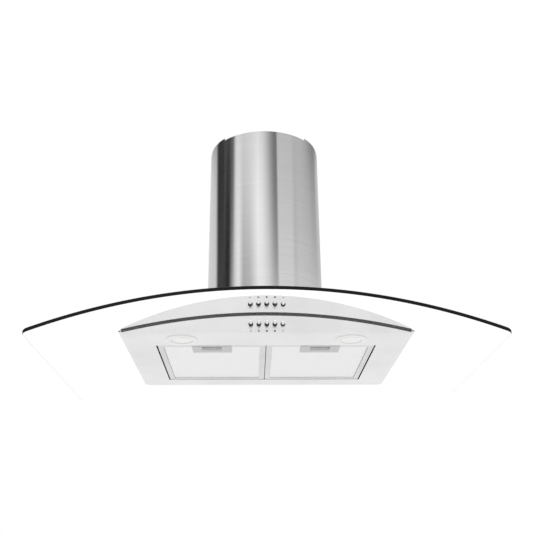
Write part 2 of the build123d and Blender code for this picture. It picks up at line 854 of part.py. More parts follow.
with BuildPart() as scroll_housing:
    extrude(scroll_section(0), amount=scroll_half_width, both=True)
    with BuildSketch(level(partition_height)):
        Rectangle(2 * partition_half_width, 2 * partition_half_depth)
        with GridLocations(2 * (lower_outer - upright_leg / 2), 2 * casing_half_depth, 2, 2):
            Rectangle(12, 12, mode=Mode.SUBTRACT)
    extrude(amount=scroll_sheet)
    extrude(
        scroll_section(scroll_sheet),
        amount=scroll_half_width - scroll_sheet,
        both=True,
        mode=Mode.SUBTRACT,
    )
    with BuildSketch(level(partition_height - 2 * scroll_sheet)):
        with Locations((0, scroll_y + (tongue_y + outlet_y) / 2)):
            Rectangle(2 * (scroll_half_width - scroll_sheet), outlet_y - tongue_y - 2 * scroll_sheet)
    extrude(amount=4 * scroll_sheet, mode=Mode.SUBTRACT)
    with BuildSketch(Plane.YZ):
        with Locations((scroll_y, base + scroll_height)):
            Circle(impeller_inner_radius)
    extrude(amount=scroll_half_width, both=True, mode=Mode.SUBTRACT)
finish(scroll_housing, "scroll_housing")


# ---- Inlet rings: pressed bell mouths on both side plates of the scroll ----

bell_radius = 4.0
bell_flange = 58.0
blower_axis = Axis((0, scroll_y, base + scroll_height), (1, 0, 0))
blower_centre = base + scroll_height

with BuildPart() as inlet_rings:
    with BuildSketch(Plane(origin=(0, scroll_y, blower_centre), x_dir=(1, 0, 0), z_dir=(0, -1, 0))):
        with BuildLine():
            flange_back = scroll_half_width
            Line((flange_back, impeller_inner_radius), (flange_back, bell_flange))
            Line((flange_back, bell_flange), (flange_back + scroll_sheet, bell_flange))
            Line(
                (flange_back + scroll_sheet, bell_flange),
                (flange_back + scroll_sheet, impeller_inner_radius + bell_radius),
            )
            ThreePointArc(
                (flange_back + scroll_sheet, impeller_inner_radius + bell_radius),
                (flange_back + bell_radius, impeller_inner_radius + 0.6 * bell_radius),
                (flange_back + bell_radius, impeller_inner_radius),
            )
            Line((flange_back + bell_radius, impeller_inner_radius), (flange_back, impeller_inner_radius))
        make_face()
    revolve(axis=blower_axis)
    mirror(about=Plane.YZ)
finish(inlet_rings, "inlet_rings")


# ---- Impeller: two rows of forward-curved blades on one disc, closed by end rings ----

impeller_plane = Plane(origin=(0, scroll_y, blower_centre), x_dir=(0, 1, 0), z_dir=(1, 0, 0))


def blade_section():
    """Curved strip between the inner and outer radius of the blade rows."""
    mid_radius = (impeller_inner_radius + impeller_radius) / 2
    tip = radians(blade_sweep)
    bulge = radians(0.25 * blade_sweep)
    half = blade_sheet / 2
    with BuildSketch() as blade:
        with BuildLine():
            sides = []
            for shift in (-half, half):
                sides.append(
                    ThreePointArc(
                        (impeller_inner_radius + half, shift),
                        (mid_radius * cos(bulge), mid_radius * sin(bulge) + shift),
                        ((impeller_radius - half) * cos(tip), (impeller_radius - half) * sin(tip) + shift),
                    )
                )
            Line(sides[0] @ 0, sides[1] @ 0)
            Line(sides[0] @ 1, sides[1] @ 1)
        make_face()
    return blade.sketch


with BuildPart() as impeller:
    with BuildSketch(impeller_plane):
        Circle(impeller_radius)
    extrude(amount=disc_sheet / 2, both=True)
    with BuildSketch(impeller_plane):
        with PolarLocations(0, blade_count):
            add(blade_section())
    extrude(amount=impeller_half_width, both=True)
    for side in (-1, 1):
        with BuildSketch(impeller_plane.offset(side * impeller_half_width)):
            Circle(impeller_radius)
            Circle(impeller_inner_radius, mode=Mode.SUBTRACT)
        extrude(amount=side * end_ring_sheet)
    with BuildSketch(impeller_plane):
        Circle(hub_radius)
    extrude(amount=hub_length)
    with BuildSketch(impeller_plane.offset(-disc_sheet)):
        Circle(shaft_radius + running_gap)
    extrude(amount=hub_length + 2 * disc_sheet, mode=Mode.SUBTRACT)
finish(impeller, "impeller")


# ---- Motor: round can inside the left blade row, on a three-armed bracket; its shaft turns the impeller ----

motor_bore_depth = 32.0
strap_width = 10.0
strap_sheet = 1.5
strap_reach = 58.0

with BuildPart() as motor:
    with BuildSketch(impeller_plane.offset(-motor_near)):
        Circle(motor_radius)
    extrude(amount=motor_near - motor_far)
    chamfer(motor.edges().filter_by(GeomType.CIRCLE), 3)
    with BuildSketch(impeller_plane.offset(-motor_near)):
        Circle(motor_boss_radius)
    extrude(amount=motor_near / 2)
    with BuildSketch(impeller_plane.offset(-motor_near / 2)):
        Circle(shaft_radius + running_gap)
    extrude(amount=-motor_bore_depth, mode=Mode.SUBTRACT)
finish(motor, "motor")

with BuildPart() as motor_shaft:
    with BuildSketch(impeller_plane.offset(hub_length + 2)):
        Circle(shaft_radius)
    extrude(amount=-(hub_length + motor_near / 2 + motor_bore_depth - 1))
    chamfer(motor_shaft.edges().filter_by(GeomType.CIRCLE), 0.5)
finish(motor_shaft, "motor_shaft")

with BuildPart() as motor_bracket:
    with BuildSketch(impeller_plane.offset(-motor_far)):
        Circle(2 * motor_boss_radius)
        with PolarLocations(0, 3, start_angle=30):
            Rectangle(strap_reach, strap_width, align=(Align.MIN, Align.CENTER))
    extrude(amount=-strap_sheet)
    with BuildSketch(impeller_plane.offset(-motor_far)):
        with PolarLocations(strap_reach - strap_sheet, 3, start_angle=30):
            Rectangle(2 * strap_sheet, strap_width)
    extrude(amount=motor_far - scroll_half_width - scroll_sheet)
finish(motor_bracket, "motor_bracket")


# ---- Duct collar: spigot for a round duct, with a stop bead and the pin of the two flaps ----

pin_level = casing_top + pin_height

with BuildPart() as duct_collar:
    with BuildSketch(level(casing_top)):
        Rectangle(2 * collar_flange, 2 * collar_flange)
        with GridLocations(2 * collar_screw, 2 * collar_screw, 2, 2):
            Circle(screw_radius + thread_gap, mode=Mode.SUBTRACT)
    extrude(amount=collar_sheet)
    with BuildSketch(level(casing_top)):
        Circle(collar_radius)
    extrude(amount=collar_height)
    with BuildSketch(level(casing_top)):
        Circle(collar_radius - collar_sheet)
    extrude(amount=collar_height, mode=Mode.SUBTRACT)
    with BuildSketch(level(casing_top + bead_height)):
        Circle(collar_radius)
        Circle(collar_radius - collar_sheet - bead_depth, mode=Mode.SUBTRACT)
    extrude(amount=-1.5 * collar_sheet)
    with BuildSketch(Plane.YZ):
        with Locations((0, base + pin_level)):
            Circle(pin_radius + thread_gap)
    extrude(amount=collar_radius, both=True, mode=Mode.SUBTRACT)
finish(duct_collar, "duct_collar")

with BuildPart() as damper_pin:
    with BuildSketch(Plane.YZ):
        with Locations((0, base + pin_level)):
            Circle(pin_radius)
    extrude(amount=collar_radius - 0.2, both=True)
finish(damper_pin, "damper_pin")


# ---- Damper flaps: two half discs on one pin, lifted by the air and dropping by their weight ----

flap_level = bead_height + seat_gap
knuckle_length = 14.0
knuckle_pitch = 20.0


def damper_flap(side):
    """One flap; side is -1 for the front half and +1 for the rear half."""
    knuckle_xs = [side * knuckle_pitch * (step + 0.5) - knuckle_pitch / 2 for step in (-2, 0, 2)]
    with BuildPart() as flap:
        with BuildSketch(level(casing_top + flap_level)):
            Circle(flap_radius)
            with Locations((0, side * (0.5 * flap_radius + seat_gap))):
                Rectangle(2 * flap_radius, flap_radius, mode=Mode.INTERSECT)
        extrude(amount=flap_sheet)
        for x in knuckle_xs:
            with BuildSketch(Plane.YZ.offset(x - knuckle_length / 2)):
                with Locations((0, base + pin_level)):
                    Circle(knuckle_radius)
                with Locations((side * knuckle_radius / 2 + side * 0.4, base + pin_level)):
                    Rectangle(
                        knuckle_radius - 0.8, pin_height - flap_level - flap_sheet / 2,
                        align=(Align.CENTER, Align.MAX),
                    )
            extrude(amount=knuckle_length)
        with BuildSketch(Plane.YZ.offset(-collar_radius)):
            with Locations((0, base + pin_level)):
                Circle(pin_radius + running_gap)
        extrude(amount=2 * collar_radius, mode=Mode.SUBTRACT)
    return flap


finish(damper_flap(-1), "damper_flap_front")
finish(damper_flap(1), "damper_flap_rear")


# ---- Terminal box: folded box on the front of the blower casing, for the mains connection ----

terminal_front = -casing_half_depth - terminal_depth
terminal_sheet = 1.0
gland_hole_radius = 6.2

with BuildPart() as terminal_box:
    with BuildSketch(level(terminal_bottom)):
        with Locations((0, -casing_half_depth - terminal_depth / 2)):
            Rectangle(2 * terminal_half_width, terminal_depth)
    extrude(amount=terminal_height)
    with BuildSketch(facing_front(0, terminal_front, terminal_bottom + terminal_height / 2)):
        Rectangle(2 * (terminal_half_width - terminal_sheet), terminal_height - 2 * terminal_sheet)
    extrude(amount=terminal_sheet - terminal_depth, mode=Mode.SUBTRACT)
    with BuildSketch(level(terminal_bottom + terminal_height)):
        with Locations((gland_x, -casing_half_depth - terminal_depth / 2)):
            Circle(gland_hole_radius)
    extrude(amount=-terminal_sheet, mode=Mode.SUBTRACT)
finish(terminal_box, "terminal_box")

with BuildPart() as terminal_cover:
    with BuildSketch(facing_front(0, terminal_front, terminal_bottom + terminal_height / 2)):
        RectangleRounded(2 * terminal_half_width, terminal_height, 2)
    extrude(amount=terminal_sheet)
    with BuildSketch(facing_front(0, terminal_front, terminal_bottom + terminal_height / 2)):
        Rectangle(
            2 * (terminal_half_width - terminal_sheet - seat_gap),
            terminal_height - 2 * (terminal_sheet + seat_gap),
        )
        Rectangle(
            2 * (terminal_half_width - 2 * terminal_sheet - seat_gap),
            terminal_height - 2 * (2 * terminal_sheet + seat_gap),
            mode=Mode.SUBTRACT,
        )
    extrude(amount=-4)
finish(terminal_cover, "terminal_cover")

terminal_back = -casing_half_depth - terminal_sheet
block_width = 30.0
block_height = 16.0
block_depth = 10.0
block_rise = 22.0  # above the floor of the box
block_shift = 9.0  # to the left of the gland
pole_pitch = 10.0
pole_row = 9.0
pole_radius = 2.4
pole_depth = 6.0

with BuildPart() as terminal_block:
    block_plane = facing_front(gland_x - block_shift, terminal_back, terminal_bottom + block_rise)
    with BuildSketch(block_plane):
        Rectangle(block_width, block_height)
    extrude(amount=block_depth)
    with BuildSketch(block_plane.offset(block_depth)):
        with GridLocations(pole_pitch, pole_row, 3, 2):
            Circle(pole_radius)
    extrude(amount=-pole_depth, mode=Mode.SUBTRACT)
finish(terminal_block, "terminal_block")

capacitor_radius = 9.0
capacitor_length = 46.0

with BuildPart() as capacitor:
    with BuildSketch(level(terminal_bottom + terminal_sheet)):
        with Locations((-terminal_half_width + terminal_sheet + capacitor_radius + seat_gap,
                        terminal_back - capacitor_radius - seat_gap)):
            Circle(capacitor_radius)
    extrude(amount=capacitor_length)
    fillet(capacitor.faces().sort_by(Axis.Z)[-1].edges(), 1.5)
finish(capacitor, "capacitor")

with BuildPart() as cable_gland:
    gland_y = -casing_half_depth - terminal_depth / 2
    gland_level = terminal_bottom + terminal_height
    with BuildSketch(level(gland_level)):
        with Locations((gland_x, gland_y)):
            RegularPolygon(9, 6)
    extrude(amount=5)
    with BuildSketch(level(gland_level + 5)):
        with Locations((gland_x, gland_y)):
            Circle(7.5)
    extrude(amount=7, taper=12)
    with BuildSketch(level(gland_level)):
        with Locations((gland_x, gland_y)):
            Circle(gland_hole_radius - 0.2)
    extrude(amount=-8)
    with BuildSketch(level(gland_level + 12)):
        with Locations((gland_x, gland_y)):
            Circle(gland_bore)
    extrude(amount=-20, mode=Mode.SUBTRACT)
finish(cable_gland, "cable_gland")


# ---- Push buttons: chrome plungers in dark bezels, their stems run in the switch bank ----

bracket_front = 8.5  # behind the front of the body
bracket_sheet = 1.0
bank_depth = 18.0
bank_height = 14.0
bank_half_width = 2.5 * button_pitch + 2
cap_back = 2.5  # behind the front of the body
stem_length = 14.0
button_names = ("off", "low", "medium", "high", "light")
latched_in = {"light": button_travel}  # the lamp button stands latched in

with BuildPart() as button_bezels:
    with BuildSketch(facing_front(0, body_front, button_height)):
        with Locations([(x, 0) for x in button_xs]):
            Circle(bezel_radius)
    extrude(amount=bezel_proud)
    chamfer(button_bezels.faces().sort_by(Axis.Y)[:5].edges(), 0.4)
    with BuildSketch(facing_front(0, body_front, button_height)):
        with Locations([(x, 0) for x in button_xs]):
            Circle(bezel_radius - 0.5)
    extrude(amount=-cap_back)
    with BuildSketch(facing_front(0, body_front - bezel_proud, button_height)):
        with Locations([(x, 0) for x in button_xs]):
            Circle(button_radius + 0.15)
    extrude(amount=-2 * bezel_proud - cap_back, mode=Mode.SUBTRACT)
finish(button_bezels, "button_bezels")

for name, x in zip(button_names, button_xs):
    pressed = latched_in.get(name, 0.0)
    with BuildPart() as button:
        with BuildSketch(facing_front(x, body_front + cap_back + pressed, button_height)):
            Circle(button_radius)
        extrude(amount=button_reach + cap_back)
        fillet(button.faces().sort_by(Axis.Y)[0].edges(), button_dome)
        with BuildSketch(facing_front(x, body_front + cap_back + pressed, button_height)):
            Circle(button_stem_radius)
        extrude(amount=-stem_length)
    finish(button, f"button_{name}")

with BuildPart() as switch_bracket:
    with BuildSketch(facing_front(0, body_front + bracket_front, body_sheet)):
        with Locations((0, 0)):
            Rectangle(
                2 * bank_half_width + 10, button_height + 8, align=(Align.CENTER, Align.MIN)
            )
        with Locations([(x, button_height - body_sheet) for x in button_xs]):
            Circle(button_radius + 0.4, mode=Mode.SUBTRACT)
    extrude(amount=-bracket_sheet)
    with BuildSketch(level(body_sheet)):
        with Locations((0, body_front + bracket_front)):
            Rectangle(2 * bank_half_width + 10, bank_depth + 2, align=(Align.CENTER, Align.MIN))
    extrude(amount=bracket_sheet)
finish(switch_bracket, "switch_bracket")

with BuildPart() as switch_bank:
    with BuildSketch(facing_front(0, body_front + bracket_front + bracket_sheet, button_height)):
        Rectangle(2 * bank_half_width, bank_height)
    extrude(amount=-bank_depth)
    with BuildSketch(facing_front(0, body_front + bracket_front + bracket_sheet, button_height)):
        with Locations([(x, 0) for x in button_xs]):
            Circle(button_stem_radius + 0.2)
    extrude(amount=1 - bank_depth, mode=Mode.SUBTRACT)
finish(switch_bank, "switch_bank")


# ---- Lamps: a steel bezel holding a frosted lens, with reflector, capsule bulb and can above ----

sleeve_bore = lamp_sleeve_radius - 1.0
reflector_radius = sleeve_bore - seat_gap
reflector_top = 16.0
bulb_radius = 4.5
bulb_hole = 6.0

with BuildPart() as lamp_cans:
    for x in (-lamp_offset, lamp_offset):
        with BuildSketch(level(body_sheet)):
            with Locations((x, lamp_y)):
                Circle(lamp_can_radius)
        extrude(amount=lamp_can_top - body_sheet)
        with BuildSketch(level(body_sheet)):
            with Locations((x, lamp_y)):
                Circle(lamp_can_radius - 1)
        extrude(amount=lamp_can_top - body_sheet - 1, mode=Mode.SUBTRACT)
finish(lamp_cans, "lamp_cans")

with BuildPart() as lamp_reflectors:
    for x in (-lamp_offset, lamp_offset):
        with BuildSketch(Plane(origin=(x, lamp_y, base), x_dir=(1, 0, 0), z_dir=(0, -1, 0))):
            with BuildLine():
                curve = ThreePointArc(
                    (reflector_radius, 2.0),
                    (0.72 * reflector_radius, 0.62 * reflector_top),
                    (bulb_hole, reflector_top),
                )
                Line(curve @ 1, (bulb_hole, reflector_top + 0.8))
                upper = ThreePointArc(
                    (bulb_hole, reflector_top + 0.8),
                    (0.72 * reflector_radius, 0.62 * reflector_top + 1.1),
                    (reflector_radius, 3.4),
                )
                Line(upper @ 1, curve @ 0)
            make_face()
        revolve(axis=Axis((x, lamp_y, base), (0, 0, 1)))
finish(lamp_reflectors, "lamp_reflectors")

with BuildPart() as lamp_bulbs:
    for x in (-lamp_offset, lamp_offset):
        with BuildSketch(level(6.0)):
            with Locations((x, lamp_y)):
                Circle(bulb_radius)
        extrude(amount=lamp_can_top - 1 - 6.0)
    fillet(lamp_bulbs.faces().sort_by(Axis.Z)[:2].edges(), 0.9 * bulb_radius)
finish(lamp_bulbs, "lamp_bulbs")

for side, hand in ((-1, "left"), (1, "right")):
    with BuildPart() as lamp_bezel:
        with BuildSketch(level(-lamp_lip)):
            with Locations((side * lamp_offset, lamp_y)):
                Circle(lamp_radius)
        extrude(amount=lamp_lip)
        fillet(lamp_bezel.faces().sort_by(Axis.Z)[0].edges(), 1.0)
        with BuildSketch(level(0)):
            with Locations((side * lamp_offset, lamp_y)):
                Circle(lamp_sleeve_radius)
        extrude(amount=reflector_top - 2)
        with BuildSketch(level(-lamp_lip)):
            with Locations((side * lamp_offset, lamp_y)):
                Circle(lamp_bore)
        extrude(amount=lamp_lip, mode=Mode.SUBTRACT)
        with BuildSketch(level(-lamp_lip / 2)):
            with Locations((side * lamp_offset, lamp_y)):
                Circle(sleeve_bore)
        extrude(amount=reflector_top, mode=Mode.SUBTRACT)
    finish(lamp_bezel, f"lamp_bezel_{hand}")

    with BuildPart() as lamp_lens:
        with BuildSketch(level(seat_gap - lamp_lip / 2)):
            with Locations((side * lamp_offset, lamp_y)):
                Circle(sleeve_bore - seat_gap)
        extrude(amount=2.0)
    finish(lamp_lens, f"lamp_lens_{hand}")


# ---- Grease filters: channel frame, three layers of mesh, handle tray and sliding latch ----

frame_bottom = filter_recess
tray_setback = handle_setback + tray_side
latch_front = tray_setback + filter_sheet + latch_gap
pull_end = tray_setback + tray_depth - filter_sheet - latch_gap - latch_travel
slot_height = latch_thickness + 2 * latch_gap
channel_height = filter_thickness - 2 * filter_sheet
mesh_pitch = (channel_height - 2 * thread_gap - mesh_sheet) / 2
front_edge = (Align.CENTER, Align.MIN)

for side, hand in ((-1, "left"), (1, "right")):
    across = side * filter_x
    centre = (across, (filter_front + filter_rear) / 2)

    with BuildPart() as filter_frame:
        with BuildSketch(level(frame_bottom)):
            with Locations(centre):
                Rectangle(filter_width, filter_depth)
        extrude(amount=filter_thickness)
        fillet(filter_frame.edges().filter_by(Axis.Z), 3)
        fillet(filter_frame.faces().sort_by(Axis.Z)[0].edges(), 2)
        with BuildSketch(level(frame_bottom)):
            with Locations(centre):
                Rectangle(filter_width - 2 * filter_bar, filter_depth - 2 * filter_bar)
            with Locations((across, filter_front + tray_setback - latch_gap)):
                Rectangle(handle_width - 2 * tray_side + 2 * latch_gap, filter_bar, align=front_edge)
        extrude(amount=filter_thickness - filter_sheet, mode=Mode.SUBTRACT)
        with BuildSketch(level(frame_bottom)):
            with Locations(centre):
                Rectangle(filter_width - 2 * filter_bar, filter_depth - 2 * filter_bar)
        extrude(amount=filter_thickness, mode=Mode.SUBTRACT)
        with BuildSketch(level(frame_bottom + filter_sheet)):
            with Locations(centre):
                Rectangle(filter_width - 2 * filter_sheet, filter_depth - 2 * filter_sheet)
        extrude(amount=channel_height, mode=Mode.SUBTRACT)
        with BuildSketch(facing_front(across, filter_front, latch_middle)):
            Rectangle(tongue_width + 2, slot_height)
        extrude(amount=-filter_sheet, mode=Mode.SUBTRACT)
        for shift in (-tab_offset, tab_offset):
            with BuildSketch(level(tab_height)):
                with Locations((across + shift, filter_rear - filter_sheet / 2)):
                    Rectangle(tab_width, tab_reach + filter_sheet / 2, align=front_edge)
            extrude(amount=tab_thickness)
    finish(filter_frame, f"filter_frame_{hand}")

    with BuildPart() as filter_mesh:
        for layer in range(3):
            with BuildSketch(level(frame_bottom + filter_sheet + thread_gap + layer * mesh_pitch)):
                with Locations(centre):
                    Rectangle(
                        filter_width - 2 * filter_sheet - 2 * latch_gap,
                        filter_depth - 2 * filter_sheet - 2 * latch_gap,
                    )
                with Locations((across, filter_front)):
                    Rectangle(
                        handle_width - 2 * tray_side + 2 * latch_gap,
                        2 * (tray_setback + tray_depth + latch_gap),
                        mode=Mode.SUBTRACT,
                    )
            extrude(amount=mesh_sheet)
    finish(filter_mesh, f"filter_mesh_{hand}")

    with BuildPart() as filter_handle:
        with BuildSketch(level(frame_bottom - handle_sheet)):
            with Locations((across, filter_front + handle_setback)):
                Rectangle(handle_width, handle_depth, align=front_edge)
        extrude(amount=handle_sheet)
        with BuildSketch(level(frame_bottom)):
            with Locations((across, filter_front + tray_setback)):
                Rectangle(handle_width - 2 * tray_side, tray_depth, align=front_edge)
        extrude(amount=tray_height)
        with BuildSketch(level(frame_bottom)):
            with Locations((across, filter_front + tray_setback + filter_sheet)):
                Rectangle(
                    handle_width - 2 * tray_side - 2 * filter_sheet,
                    tray_depth - 2 * filter_sheet,
                    align=front_edge,
                )
        extrude(amount=tray_height - filter_sheet, mode=Mode.SUBTRACT)
        with BuildSketch(level(frame_bottom - handle_sheet)):
            with Locations((across, filter_front + window_setback)):
                Rectangle(window_width, window_depth, align=front_edge)
        extrude(amount=handle_sheet, mode=Mode.SUBTRACT)
        with BuildSketch(facing_front(across, filter_front + tray_setback, latch_middle)):
            Rectangle(tongue_width + 2, slot_height)
        extrude(amount=-filter_sheet, mode=Mode.SUBTRACT)
    finish(filter_handle, f"filter_handle_{hand}")

    with BuildPart() as filter_latch:
        with BuildSketch(level(latch_middle - latch_thickness / 2)):
            with Locations((across, filter_front + latch_front)):
                Rectangle(latch_width, pull_end - latch_front, align=front_edge)
            with Locations((across, filter_front + window_setback - latch_gap)):
                Rectangle(
                    latch_width - 2 * latch_arm,
                    pull_setback - window_setback + latch_gap,
                    align=front_edge,
                    mode=Mode.SUBTRACT,
                )
            with Locations((across, filter_front + latch_front)):
                Rectangle(
                    tongue_width,
                    latch_front + filter_front_gap + body_sheet + latch_reach,
                    align=(Align.CENTER, Align.MAX),
                )
        extrude(amount=latch_thickness)
        with BuildSketch(level(latch_middle)):
            with Locations((across, filter_front + pull_setback)):
                Rectangle(latch_width, pull_end - pull_setback, align=front_edge)
        extrude(amount=frame_bottom + latch_gap - latch_middle)
    finish(filter_latch, f"filter_latch_{hand}")
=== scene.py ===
"""Looks of the island range hood: stainless chimney and body, bent glass canopy, chrome buttons.

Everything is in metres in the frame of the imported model: the origin is the centre of the ceiling
plate's top face, +Z is up and the push buttons face -Y. Heights called "rise" are counted from the
underside of the steel body, which hangs 537 mm under the ceiling.
"""

import math

import bpy
import numpy as np
from mathutils import Matrix, Vector


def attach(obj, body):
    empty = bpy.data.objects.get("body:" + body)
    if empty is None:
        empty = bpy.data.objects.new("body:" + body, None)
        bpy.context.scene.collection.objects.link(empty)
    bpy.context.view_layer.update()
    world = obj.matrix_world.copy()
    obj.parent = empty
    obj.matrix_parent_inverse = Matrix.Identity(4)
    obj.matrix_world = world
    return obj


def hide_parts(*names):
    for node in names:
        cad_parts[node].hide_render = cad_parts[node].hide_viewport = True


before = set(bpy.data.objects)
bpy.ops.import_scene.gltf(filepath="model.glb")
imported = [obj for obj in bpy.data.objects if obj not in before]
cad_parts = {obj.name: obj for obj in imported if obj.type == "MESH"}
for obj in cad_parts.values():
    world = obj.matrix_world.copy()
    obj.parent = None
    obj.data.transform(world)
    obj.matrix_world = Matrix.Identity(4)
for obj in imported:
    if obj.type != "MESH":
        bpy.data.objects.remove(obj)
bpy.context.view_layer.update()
MM = 0.001
UNDERSIDE = -0.537  # underside of the steel body


# ---- Ceiling plate, uprights, braces, deck and blower casing ----
# Galvanised sheet steel, folded, spot-welded and hidden by the chimney once the hood hangs.
# Hot-dip zinc freezes in flat crystals of 4 to 10 mm, each a slightly different grey.


def linear(code):
    """sRGB hex colour as linear red, green, blue and alpha."""
    s = np.array([int(code[i : i + 2], 16) for i in (0, 2, 4)]) / 255
    return tuple(np.where(s <= 0.04045, s / 12.92, ((s + 0.055) / 1.055) ** 2.4)) + (1.0,)


def add_node(tree, kind, settings=None, links=None):
    """New node; settings name its attributes or input sockets, links feed sockets from outputs."""
    node = tree.nodes.new("ShaderNode" + kind)
    for name, value in (settings or {}).items():
        if isinstance(name, str) and hasattr(node, name) and name not in node.inputs:
            setattr(node, name, value)
        else:
            node.inputs[name].default_value = value
    for name, output in (links or {}).items():
        tree.links.new(output, node.inputs[name])
    return node


def new_material(name, **sockets):
    """Material with one Principled shader whose sockets are set by name, and its node tree."""
    material = bpy.data.materials.new(name)
    material.use_nodes = True
    shader = material.node_tree.nodes["Principled BSDF"]
    for socket, value in sockets.items():
        shader.inputs[socket.replace("_", " ")].default_value = value
    return material, material.node_tree, shader


def colour_steps(tree, factor, *steps):
    """Colour ramp fed by factor; each step is (position, hex colour)."""
    ramp = add_node(tree, "ValToRGB", links={"Fac": factor})
    stops = ramp.color_ramp.elements
    while len(stops) < len(steps):
        stops.new(0.5)
    for stop, (position, code) in zip(stops, steps):
        stop.position = position
        stop.color = linear(code)
    return ramp.outputs["Color"]


def paint(material, *nodes):
    """Give CAD nodes a material."""
    for name in nodes:
        for part_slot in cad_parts[name].material_slots:
            part_slot.material = material


galvanised, tree, shader = new_material("galvanised_steel", Metallic=1.0, Roughness=0.42)
place = add_node(tree, "TexCoord").outputs["Object"]
crystals = add_node(tree, "TexVoronoi", {"Scale": 140.0, "Randomness": 1.0}, {"Vector": place})
bloom = add_node(tree, "TexNoise", {"Scale": 35.0, "Detail": 4.0}, {"Vector": place})
crystal_grey = add_node(tree, "SeparateColor", links={"Color": crystals.outputs["Color"]})
blend_grey = add_node(
    tree,
    "Math",
    {"operation": "ADD"},
    {0: crystal_grey.outputs["Red"], 1: bloom.outputs["Fac"]},
)
half_grey = add_node(tree, "Math", {"operation": "MULTIPLY", 1: 0.5}, {0: blend_grey.outputs[0]})
tree.links.new(
    colour_steps(tree, half_grey.outputs[0], (0.2, "8F9294"), (0.5, "A4A7A9"), (0.8, "B9BCBD")),
    shader.inputs["Base Color"],
)
paint(
    galvanised,
    *("ceiling_plate", "upper_uprights", "upper_braces", "lower_uprights", "lower_brace"),
    *("seat_ring", "plenum_deck", "blower_casing", "scroll_housing", "inlet_rings"),
    *("motor_bracket", "terminal_box", "terminal_cover", "switch_bracket", "lamp_cans", "impeller"),
)


# ---- Screws, clamp bolts, nuts, damper pin and motor shaft ----
# Cold-formed steel with bright zinc plating; the rolled and tumbled surface has a fine uneven sheen.

zinc, tree, shader = new_material("zinc_plated_screws", Metallic=1.0)
place = add_node(tree, "TexCoord").outputs["Object"]
tumble = add_node(tree, "TexNoise", {"Scale": 900.0, "Detail": 3.0}, {"Vector": place})
tree.links.new(
    colour_steps(tree, tumble.outputs["Fac"], (0.3, "A9AAAB"), (0.7, "C4C5C6")),
    shader.inputs["Base Color"],
)
sheen = add_node(
    tree,
    "MapRange",
    {"To Min": 0.24, "To Max": 0.40},
    {"Value": tumble.outputs["Fac"]},
)
tree.links.new(sheen.outputs["Result"], shader.inputs["Roughness"])
paint(
    zinc,
    *("ceiling_screws", "ear_screws", "chimney_screws", "ring_screws", "housing_screws"),
    *("frame_bolts", "frame_nuts", "damper_pin", "motor_shaft"),
)


# ---- Chimney: two tubes of 0.8 mm stainless sheet, rolled, butt-welded and brushed round ----
# The inner tube hangs from the ceiling plate by its ears; the outer one stands on the glass.
# The brush runs round the tube, so reflections are drawn out along it and stay sharp across it.

TUBE_WALL = 0.8 * MM
OUTER_TUBE = 134.0 * MM
INNER_TUBE = OUTER_TUBE - TUBE_WALL - 0.5 * MM
OUTER_TOP = -7.0 * MM
INNER_BOTTOM = UNDERSIDE + 69.33 * MM
EAR_TOP = -0.2 * MM
RELIEF_TOP = -10.2 * MM
RELIEF_ANGLE = 47.0
ARCH_RADIUS = 1220.0 * MM
ARCH_RISE = 41.33 * MM
GLASS = 7.0 * MM


def arch(x, out=0.0):
    """Height of the bent glass at x: a circle of radius ARCH_RADIUS + out about the same axis."""
    return UNDERSIDE + ARCH_RISE - ARCH_RADIUS + np.sqrt((ARCH_RADIUS + out) ** 2 - x**2)


def grid_piece(name, points, materials, close_u=True, close_v=True, face_slot=None, sharp=35.0):
    """Mesh object from points[u, v, xyz]; each cell is a quad, u and v may close on themselves."""
    u, v = points.shape[:2]
    rows = np.arange(u if close_u else u - 1)
    columns = np.arange(v if close_v else v - 1)
    i, j = np.meshgrid(rows, columns, indexing="ij")
    nu, nv = (i + 1) % u, (j + 1) % v
    quads = np.stack([i * v + j, nu * v + j, nu * v + nv, i * v + nv], -1).reshape(-1, 4)
    mesh = bpy.data.meshes.new(name)
    mesh.from_pydata(points.reshape(-1, 3).tolist(), [], quads.tolist())
    mesh.polygons.foreach_set("use_smooth", np.ones(len(quads), bool))
    for material in materials:
        mesh.materials.append(material)
    if face_slot is not None:
        mesh.polygons.foreach_set("material_index", face_slot(i, j).reshape(-1).astype(np.int32))
    mesh.update()
    mesh.set_sharp_from_angle(angle=math.radians(sharp))
    piece = bpy.data.objects.new(name, mesh)
    bpy.context.scene.collection.objects.link(piece)
    return piece


def tube_points(angles, outer, bottom, top, lip=0.15 * MM):
    """Wall section carried round a circle: up the outside, over the rim, down the inside."""
    inner = outer - TUBE_WALL
    rows = [
        (inner, bottom + lip),
        (inner + lip, bottom),
        (outer - lip, bottom),
        (outer, bottom + lip),
        (outer, bottom + 3 * lip),
        (outer, top - 3 * lip),
        (outer, top - lip),
        (outer - lip, top),
        (inner + lip, top),
        (inner, top - lip),
    ]
    radius = np.stack([np.broadcast_to(r, angles.shape) for r, _ in rows], 1)
    height = np.stack([np.broadcast_to(h, angles.shape) for _, h in rows], 1)
    return np.stack([radius * np.cos(angles)[:, None], radius * np.sin(angles)[:, None], height], -1)


